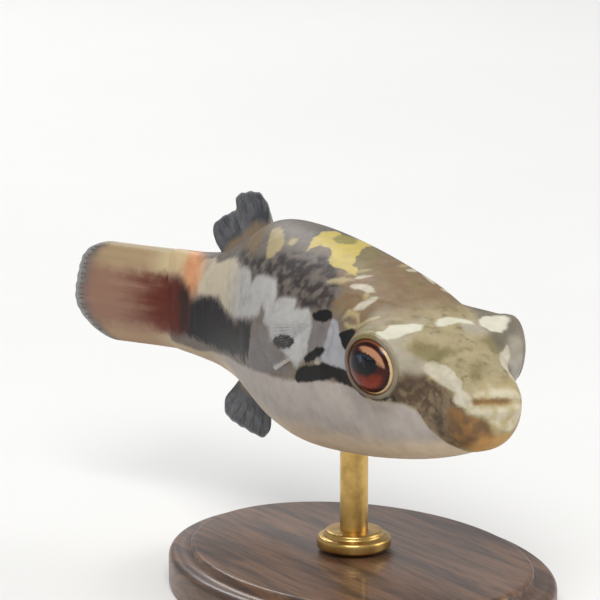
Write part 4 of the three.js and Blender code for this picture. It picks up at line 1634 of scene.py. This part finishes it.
def make_fins():
    """Every fin: its web, then the rays that carry it."""
    tail = tail_paint("tail web", False), tail_paint("tail rays", True)
    grey = grey_paint("grey web", False), grey_paint("grey rays", True)
    clear = clear_paint("clear web", False), clear_paint("clear rays", True)
    upright = across_at(UPRIGHT_HEADING)[1]
    fins = [
        ("tail_fin", "tail_web", tail, tail_ray, across_at(TAIL_HEADING)[1]),
        ("dorsal_fin", "grey_web", grey, lambda u: median_ray(DORSAL_FIN, u), upright),
        ("anal_fin", "grey_web", grey, lambda u: median_ray(ANAL_FIN, u), upright),
    ]
    for which, eye in EYES.items():
        across = across_at(PECTORAL_FIN["station"], eye.sign, PECTORAL_FIN[which]["out"])[1]
        ray = functools.partial(pectoral_ray, which)
        fins.append((f"pectoral_fin_{which}", "clear_web", clear, ray, across))
    for node, slot_name, (web_finish, ray_finish), ray, across in fins:
        sizes = dict(zip(FIN_COLUMNS, FIN_SIZES[node.split("_")[0]]))
        fin = Fin(node, ray, across, sizes)
        keep(fin.web(), slot_name, web_finish, node)
        keep(fin.round_rays(ray_finish), slot_name, None)


skin = make_skin()
mark_skin(skin)
keep(skin, "skin", skin_paint(), "head", "upper_jaw", "lower_jaw", "trunk", "tail_stalk")
eye_finish = eye_paint()
for which, eye in EYES.items():
    keep(make_eye(f"eyeball_{which}", eye), "eye", eye_finish, f"eye_{which}")
make_fins()
keep(make_base(), "base", wood_paint(), "stand_base")
brass = brass_paint()
keep(make_rod(), "rod", brass, "stand_rod")
keep(make_collar(), "rod", brass, "stand_collar")

# ---------------- tie to the frame

for piece, slot_name, nodes in parts:
    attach(piece, "root")
    if nodes:
        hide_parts(*nodes)

# ---------------- studio

CAMERA_AZIMUTH = -34.0
CAMERA_ELEVATION = 13.0
CAMERA_DISTANCE = 300.0
FRAME_WIDTH = 46.15  # of the scene, at the aim
AIM_RIGHT = -4.69
AIM_UP = 4.15
SENSOR_WIDTH = 36.0
FLOOR_HALF = 2000.0
FLOOR_DARK = tone(222, 221, 218)
FLOOR_LIGHT = tone(228, 227, 224)

# Soft round lamps: name, place in metres, width in metres, power.
LIGHTS = (
    ("key light", (-0.25, -0.3, 0.42), 0.3, 2.4),
    ("fill light", (0.35, -0.25, 0.2), 0.3, 0.8),
    ("back light", (0.1, 0.4, 0.35), 0.25, 1.2),
)
LIGHT_AIM = Vector((0.0, 0.0, 0.02))
SKY = (0.9, 0.92, 0.95, 1.0)
SKY_STRENGTH = 0.45


def facing(direction):
    """The turn that points a lamp's or camera's back along a direction."""
    return direction.to_track_quat("Z", "Y").to_euler()


def make_camera():
    """A long lens ahead of the fish's right side, a little above it."""
    azimuth, elevation = math.radians(CAMERA_AZIMUTH), math.radians(CAMERA_ELEVATION)
    back = np.array([math.sin(azimuth) * math.cos(elevation),
                     -math.cos(azimuth) * math.cos(elevation), math.sin(elevation)])
    right = np.array([math.cos(azimuth), math.sin(azimuth), 0.0])
    aim = np.array([0, 0, AXIS_HEIGHT]) + AIM_RIGHT * right + AIM_UP * np.cross(back, right)
    lens = bpy.data.cameras.new("camera")
    lens.sensor_width = SENSOR_WIDTH
    lens.lens = SENSOR_WIDTH * CAMERA_DISTANCE / FRAME_WIDTH
    lens.clip_start = 0.01
    camera = add_object("camera", lens)
    camera.location = Vector((aim + back * CAMERA_DISTANCE) * MM)
    camera.rotation_euler = facing(Vector(back))
    bpy.context.scene.camera = camera


def make_lights():
    """Three soft lamps and an even pale sky."""
    for name, at, size, power in LIGHTS:
        lamp = bpy.data.lights.new(name, "AREA")
        lamp.shape = "DISK"
        lamp.size = size
        lamp.energy = power
        light = add_object(name, lamp)
        light.location = at
        light.rotation_euler = facing(Vector(at) - LIGHT_AIM)
    world = bpy.data.worlds.new("studio")
    world.use_nodes = True
    background = world.node_tree.nodes["Background"].inputs
    background["Color"].default_value = SKY
    background["Strength"].default_value = SKY_STRENGTH
    bpy.context.scene.world = world


def make_floor():
    """A wide pale floor that isn't part of the model."""
    sides = ((-1, -1), (1, -1), (1, 1), (-1, 1))
    corners = [(x * FLOOR_HALF, y * FLOOR_HALF, 0.0) for x, y in sides]
    floor = mesh_object("floor", corners, [(0, 1, 2, 3)])
    paint = Paint("pale floor")
    colour = paint.mix(paint.noise(paint.place(), 0.02), FLOOR_DARK, FLOOR_LIGHT)
    floor.data.materials.append(paint.finish(Base_Color=colour, Roughness=0.8))


make_camera()
make_lights()
make_floor()
bpy.context.scene.view_settings.view_transform = "Standard"
